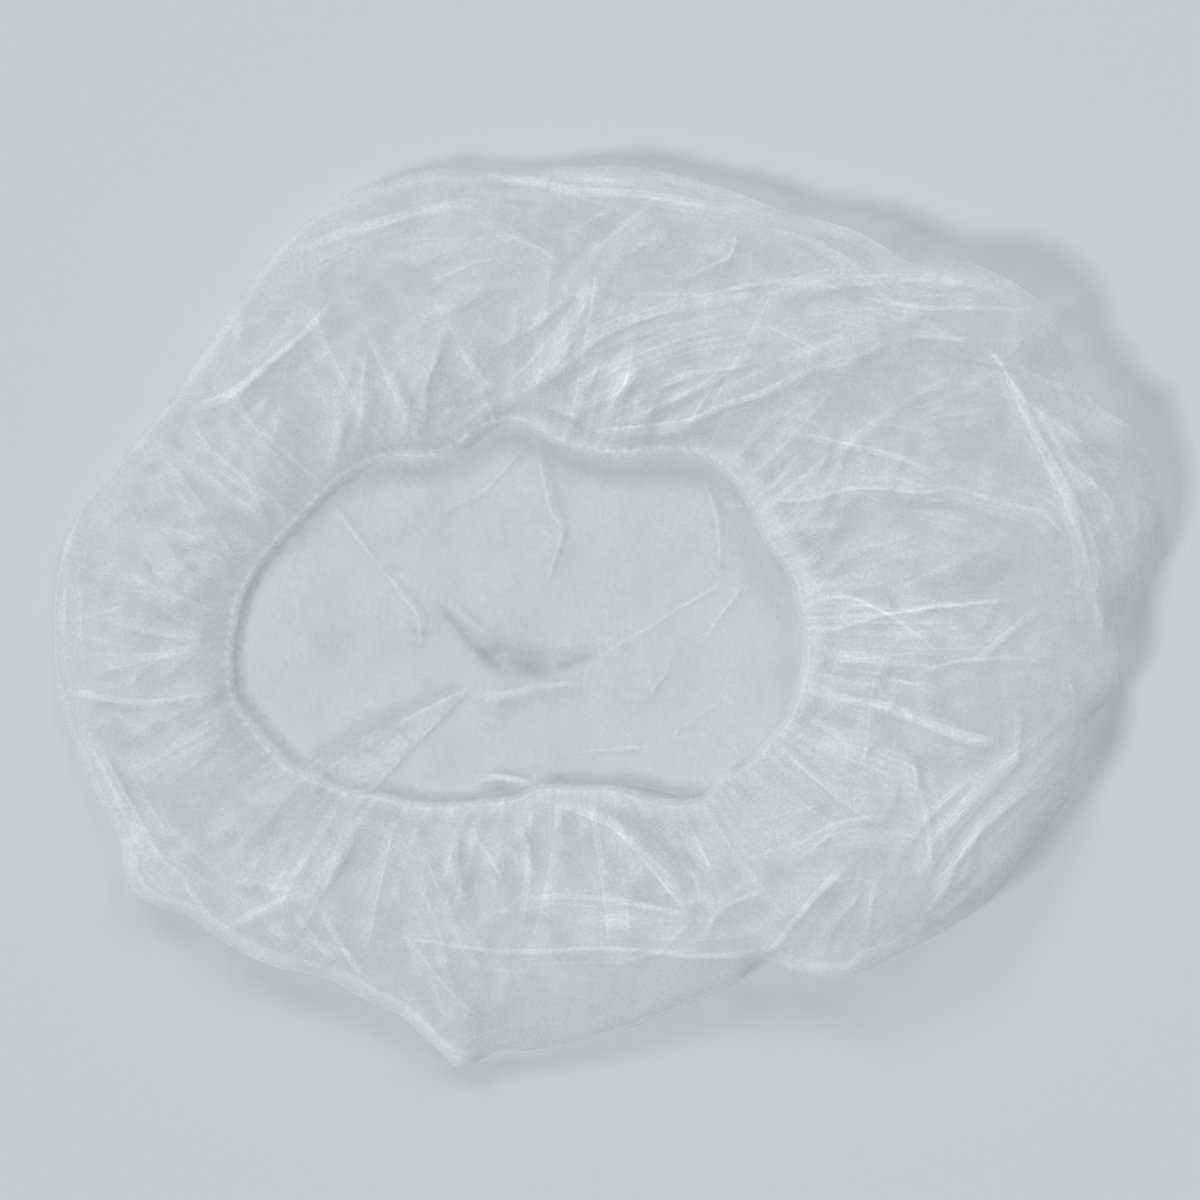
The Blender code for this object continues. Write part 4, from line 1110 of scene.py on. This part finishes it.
def make_cloth_material():
    """See-through spunbonded nonwoven: fibres in clouds, bonded in dots, streaked where it is gathered."""
    material, tree = new_material("nonwoven_cloth")
    links = tree.links
    place = node(tree, "ShaderNodeTexCoord").outputs["Object"]
    layers = node(tree, "ShaderNodeAttribute", attribute_name="layers").outputs["Fac"]
    tone_and_painted_shade = node(tree, "ShaderNodeAttribute", attribute_name="tone_and_painted_shade").outputs["Fac"]
    column = node(tree, "ShaderNodeAttribute", attribute_name="column").outputs["Vector"]
    away = node(tree, "ShaderNodeSeparateXYZ")
    links.new(column, away.inputs[0])
    squeeze = node(tree, "ShaderNodeVectorMath", operation="MULTIPLY")
    squeeze.inputs[1].default_value = STREAK_SQUEEZE
    links.new(column, squeeze.inputs[0])

    fibre = noise(tree, place, FIBRE_SCALE, 0.0)
    tangle = noise(tree, place, TANGLE_SCALE, 0.0)
    across = node(tree, "ShaderNodeSeparateXYZ")
    links.new(place, across.inputs[0])
    rows = (math_node(tree, "MULTIPLY", across.outputs[axis], 2 * pi / BOND_PITCH) for axis in "XY")
    bond = product(tree, *(math_node(tree, "SINE", row, 0) for row in rows))
    streak = ramp(tree, noise(tree, squeeze.outputs[0], STREAK_SCALE, 0.0), STREAK_RANGE, STREAK_LAYERS)
    near_hem = math_node(tree, "POWER", STREAK_FALL, away.outputs["Z"])
    layers = math_node(tree, "ADD", layers, product(tree, streak, near_hem))

    amount = product(
        tree,
        ramp(tree, fibre, NOISE_RANGE, FIBRE_AMOUNT),
        ramp(tree, tangle, NOISE_RANGE, TANGLE_AMOUNT),
        ramp(tree, bond, (-1.0, 1.0), BOND_AMOUNT),
        layers,
    )
    clear = math_node(tree, "POWER", 1 - CLOTH_COVER, amount)
    cover = math_node(tree, "SUBTRACT", 1.0, clear)

    # The fibres' colour times the mesh's tone and painted shade, and the tangles' tint.
    tint = node(tree, "ShaderNodeMix", data_type="RGBA", blend_type="MULTIPLY")
    tint.inputs["Factor"].default_value = 1.0
    tint.inputs[6].default_value = FIBRE_COLOUR
    links.new(product(tree, tone_and_painted_shade, ramp(tree, tangle, NOISE_RANGE, TANGLE_TINT)), tint.inputs[7])
    diffuse = node(tree, "ShaderNodeBsdfDiffuse")
    through = node(tree, "ShaderNodeBsdfTranslucent")
    for shader in (diffuse, through):
        links.new(tint.outputs[2], shader.inputs["Color"])
    passed_on = math_node(tree, "DIVIDE", THROUGH_SHARE, layers)
    see_through(tree, cover, mix(tree, passed_on, diffuse.outputs[0], through.outputs[0]))
    return material


def mesh_object(name, vertices, faces, material):
    mesh = bpy.data.meshes.new(name)
    mesh.from_pydata(vertices.tolist(), [], faces.tolist())
    mesh.shade_smooth()
    mesh.materials.append(material)
    made = bpy.data.objects.new(name, mesh)
    bpy.context.scene.collection.objects.link(made)
    return made


def steepness(vertices, faces):
    """How many times its own thickness the cloth shows from above, where it stands on edge."""
    a, b, c = (vertices[faces[:, k]] for k in range(3))
    normal = np.cross(b - a, c - a)
    total = np.zeros_like(vertices)
    for k in range(3):
        np.add.at(total, faces[:, k], normal)
    upright = np.abs(total[:, 2]) / np.maximum(np.linalg.norm(total, axis=1), 1e-12)
    return 1 / np.maximum(upright, 0.80)


# The distance from the hem, in mm, that the crown is given, so that it has no streaks
FAR_FROM_HEM = 400.0


def make_cap():
    """The cloth: one sheet, the crown on the surface and the ring above it, joined at the outline."""
    ring_folds = list(RING_FOLDS) + streaks(RING_FOLDS, 2) + random_folds(SMALL_FOLDS, 1)
    ring_folds += gather_folds(3) + companions(RING_FOLDS, 4)
    ring_strokes = [Stroke(fold, RING_SHARE) for fold in ring_folds]
    crown_strokes = [Stroke(fold, CROWN_SHARE) for fold in CROWN_FOLDS]
    edge_turns = outline.spaced_turns(EDGE_SPACING)
    mouth_turns = mouth.spaced_turns(MOUTH_SPACING)
    edge = outline.at(edge_turns)
    ring, ring_faces = triangles_between(
        [edge, mouth.at(mouth_turns)], ring_points(ring_strokes, edge_turns, mouth_turns)
    )
    crown, crown_faces = triangles_between([edge], crown_points(crown_strokes, edge_turns))
    ring_z, ring_layers, ring_tone_and_painted_shade, column = ring_heights(ring, ring_strokes)
    crown_z, crown_layers, crown_tone_and_painted_shade = crown_heights(crown, crown_strokes)
    ring_layers *= steepness(np.column_stack([ring, ring_z]), ring_faces)
    shared = len(edge)
    crown_z[:shared] = ring_z[:shared]
    vertices = np.concatenate([
        np.column_stack([seen_from_camera(ring, ring_z), ring_z]),
        np.column_stack([seen_from_camera(crown, crown_z), crown_z])[shared:],
    ]) * MM
    below = np.where(crown_faces < shared, crown_faces, crown_faces - shared + len(ring))
    faces = np.concatenate([ring_faces, below[:, ::-1]])
    cap = mesh_object("cap_cloth", vertices, faces, make_cloth_material())
    far = np.tile([0.0, 0.0, FAR_FROM_HEM], (len(crown) - shared, 1))
    # Layers, and the colour's tone with painted shade, go to the mesh for the material.
    attributes = cap.data.attributes
    for name, values in (("layers", (ring_layers, crown_layers)), ("tone_and_painted_shade", (ring_tone_and_painted_shade, crown_tone_and_painted_shade))):
        values = np.concatenate([values[0], values[1][shared:]])
        attributes.new(name, "FLOAT", "POINT").data.foreach_set("value", values.astype(np.float32))
    values = np.concatenate([column, far]).astype(np.float32).ravel()
    attributes.new("column", "FLOAT_VECTOR", "POINT").data.foreach_set("vector", values)
    return cap


# The hem's fibres: the scale and the used part of their noise, their colour, how much they hide where
# they are thinnest and thickest, and the share of light that they pass on
HEM_FUZZ_SCALE = 1300.0
HEM_FUZZ_RANGE = (0.32, 0.68)
HEM_COLOUR = (0.95, 0.95, 0.97, 1.0)
HEM_COVER = (0.10, 0.25)
HEM_THROUGH = 0.30


def make_hem_material():
    """The gathered hem: fuzzy fibres with a fine bump, which hide only part of what lies behind them,
    unevenly.
    """
    material, tree = new_material("gathered_hem")
    place = node(tree, "ShaderNodeTexCoord").outputs["Object"]
    fuzz = noise(tree, place, HEM_FUZZ_SCALE, 2.0)
    cover = ramp(tree, fuzz, HEM_FUZZ_RANGE, HEM_COVER)
    bump = node(tree, "ShaderNodeBump", Strength=0.5, Distance=0.0002)
    tree.links.new(fuzz, bump.inputs["Height"])
    diffuse = node(tree, "ShaderNodeBsdfDiffuse", Color=HEM_COLOUR)
    through = node(tree, "ShaderNodeBsdfTranslucent", Color=HEM_COLOUR)
    tree.links.new(bump.outputs["Normal"], diffuse.inputs["Normal"])
    see_through(tree, cover, mix(tree, HEM_THROUGH, diffuse.outputs[0], through.outputs[0]))
    return material


# The hem's radius, how much thicker it is on the right, the spacing of its mesh, in mm, and its sides
HEM_RADIUS = 1.8
HEM_RADIUS_RIGHT = 0.25
HEM_STEP = 0.34
HEM_SIDES = 20


def make_hem():
    """The gathered edge: a rope of small pleats round the mouth."""
    turns = mouth.spaced_turns(HEM_STEP)
    count, sides = len(turns), HEM_SIDES
    z = height_at("hem", turns) - hem_sag(turns)
    middle = seen_from_camera(mouth.at(turns), z)
    run = np.roll(middle, -1, axis=0) - np.roll(middle, 1, axis=0)
    run /= np.hypot(*run.T)[:, None]
    out = np.stack([run[:, 1], -run[:, 0]], axis=1)
    along, angle = np.meshgrid(np.arange(count), np.linspace(0, 2 * pi, sides, endpoint=False), indexing="ij")
    around = along / count * 2 * pi
    ring = count * HEM_STEP / (2 * pi)
    u, v = np.cos(around) * ring, np.sin(around) * ring
    pleat = 0.07 * waves(u + 2 * np.cos(angle), v + 2 * np.sin(angle), 1.3, 61)
    pleat += 0.09 * waves(u + np.cos(angle), v, 5.5, 62)
    radius = (HEM_RADIUS + HEM_RADIUS_RIGHT * np.cos(np.radians(turns)))[:, None] * (1 + pleat)
    x = middle[:, 0:1] + out[:, 0:1] * np.cos(angle) * radius
    y = middle[:, 1:2] + out[:, 1:2] * np.cos(angle) * radius
    height = z[:, None] + np.sin(angle) * radius * 0.9
    vertices = np.stack([x, y, height], axis=-1).reshape(-1, 3) * MM
    i, j = np.meshgrid(np.arange(count), np.arange(sides), indexing="ij")
    i2, j2 = (i + 1) % count, (j + 1) % sides
    corners = [i * sides + j, i * sides + j2, i2 * sides + j2, i2 * sides + j]
    faces = np.stack(corners, axis=-1).reshape(-1, 4)
    return mesh_object("hem_gathers", vertices, faces, make_hem_material())


# How brightly the floor is lit, and the share of it that comes from all round
FLOOR_LIGHT = 0.95
SKY_SHARE = 0.08
# Lights. azimuth and elevation: where each stands, in degrees. softness: how wide it is, in degrees.
# share: of the floor's light.
Sun = namedtuple("Sun", "name azimuth elevation softness share")
SUNS = (
    Sun("light_lower_left", 210, 46, 12, 0.46),
    Sun("light_upper_left", 114, 45, 22, 0.27),
    Sun("light_upper_right", 54, 43, 26, 0.19),
)
FLOOR_COLOUR = (0.612, 0.618, 0.628, 1.0)
# Through how many layers of cloth light is followed, and from surface to surface how many times
CLEAR_BOUNCES = 8
DIFFUSE_BOUNCES = 2
# How far the floor reaches from the middle, and how far it lies below the cap, in metres
FLOOR_REACH = 4.0
FLOOR_GAP = 0.0001


def make_camera():
    camera = bpy.data.cameras.new("camera")
    camera.sensor_width = 36.0
    side = PHOTO_SIDE * MM_PER_PIXEL
    camera.lens = camera.sensor_width * CAMERA_HEIGHT / side
    camera.clip_start = 0.05
    camera.clip_end = 20
    made = bpy.data.objects.new("camera", camera)
    middle = to_plan((PHOTO_SIDE / 2, PHOTO_SIDE / 2))
    made.location = (middle[0] * MM, middle[1] * MM, CAMERA_HEIGHT * MM)
    bpy.context.scene.collection.objects.link(made)
    bpy.context.scene.camera = made


def make_floor():
    mesh = bpy.data.meshes.new("floor")
    corners = [(x * FLOOR_REACH, y * FLOOR_REACH, 0) for x, y in ((-1, -1), (1, -1), (1, 1), (-1, 1))]
    mesh.from_pydata(corners, [], [(0, 1, 2, 3)])
    material = bpy.data.materials.new("pale_surface")
    material.use_nodes = True
    shader = material.node_tree.nodes["Principled BSDF"]
    shader.inputs["Base Color"].default_value = FLOOR_COLOUR
    shader.inputs["Roughness"].default_value = 0.95
    mesh.materials.append(material)
    floor = bpy.data.objects.new("floor", mesh)
    floor.location = (0, 0, -FLOOR_GAP)
    bpy.context.scene.collection.objects.link(floor)


def make_sun(sun):
    """A soft, even light that gives the floor its share."""
    azimuth, elevation = radians(sun.azimuth), radians(sun.elevation)
    light = bpy.data.lights.new(sun.name, "SUN")
    light.angle = radians(sun.softness)
    light.energy = sun.share * FLOOR_LIGHT * pi / sin(elevation)
    made = bpy.data.objects.new(sun.name, light)
    away = Vector((cos(azimuth), sin(azimuth), tan(elevation)))
    made.location = away.normalized() * 2
    made.rotation_euler = away.to_track_quat("Z", "Y").to_euler()
    bpy.context.scene.collection.objects.link(made)


def make_world(strength):
    world = bpy.data.worlds.new("studio")
    world.use_nodes = True
    background = world.node_tree.nodes["Background"]
    background.inputs["Color"].default_value = (1.0, 1.0, 1.0, 1.0)
    background.inputs["Strength"].default_value = strength
    bpy.context.scene.world = world


# Camera, floor and lights
make_camera()
make_floor()
for sun in SUNS:
    make_sun(sun)
make_world(SKY_SHARE * FLOOR_LIGHT)
bpy.context.scene.view_settings.view_transform = "Standard"
bpy.context.scene.cycles.transparent_max_bounces = CLEAR_BOUNCES
bpy.context.scene.cycles.diffuse_bounces = DIFFUSE_BOUNCES

# The cap, cut from a disc 0.53 m across
cap = make_cap()
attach(cap, "root")
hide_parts("cap_shell")

hem = make_hem()
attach(hem, "root")
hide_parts("elastic_hem")
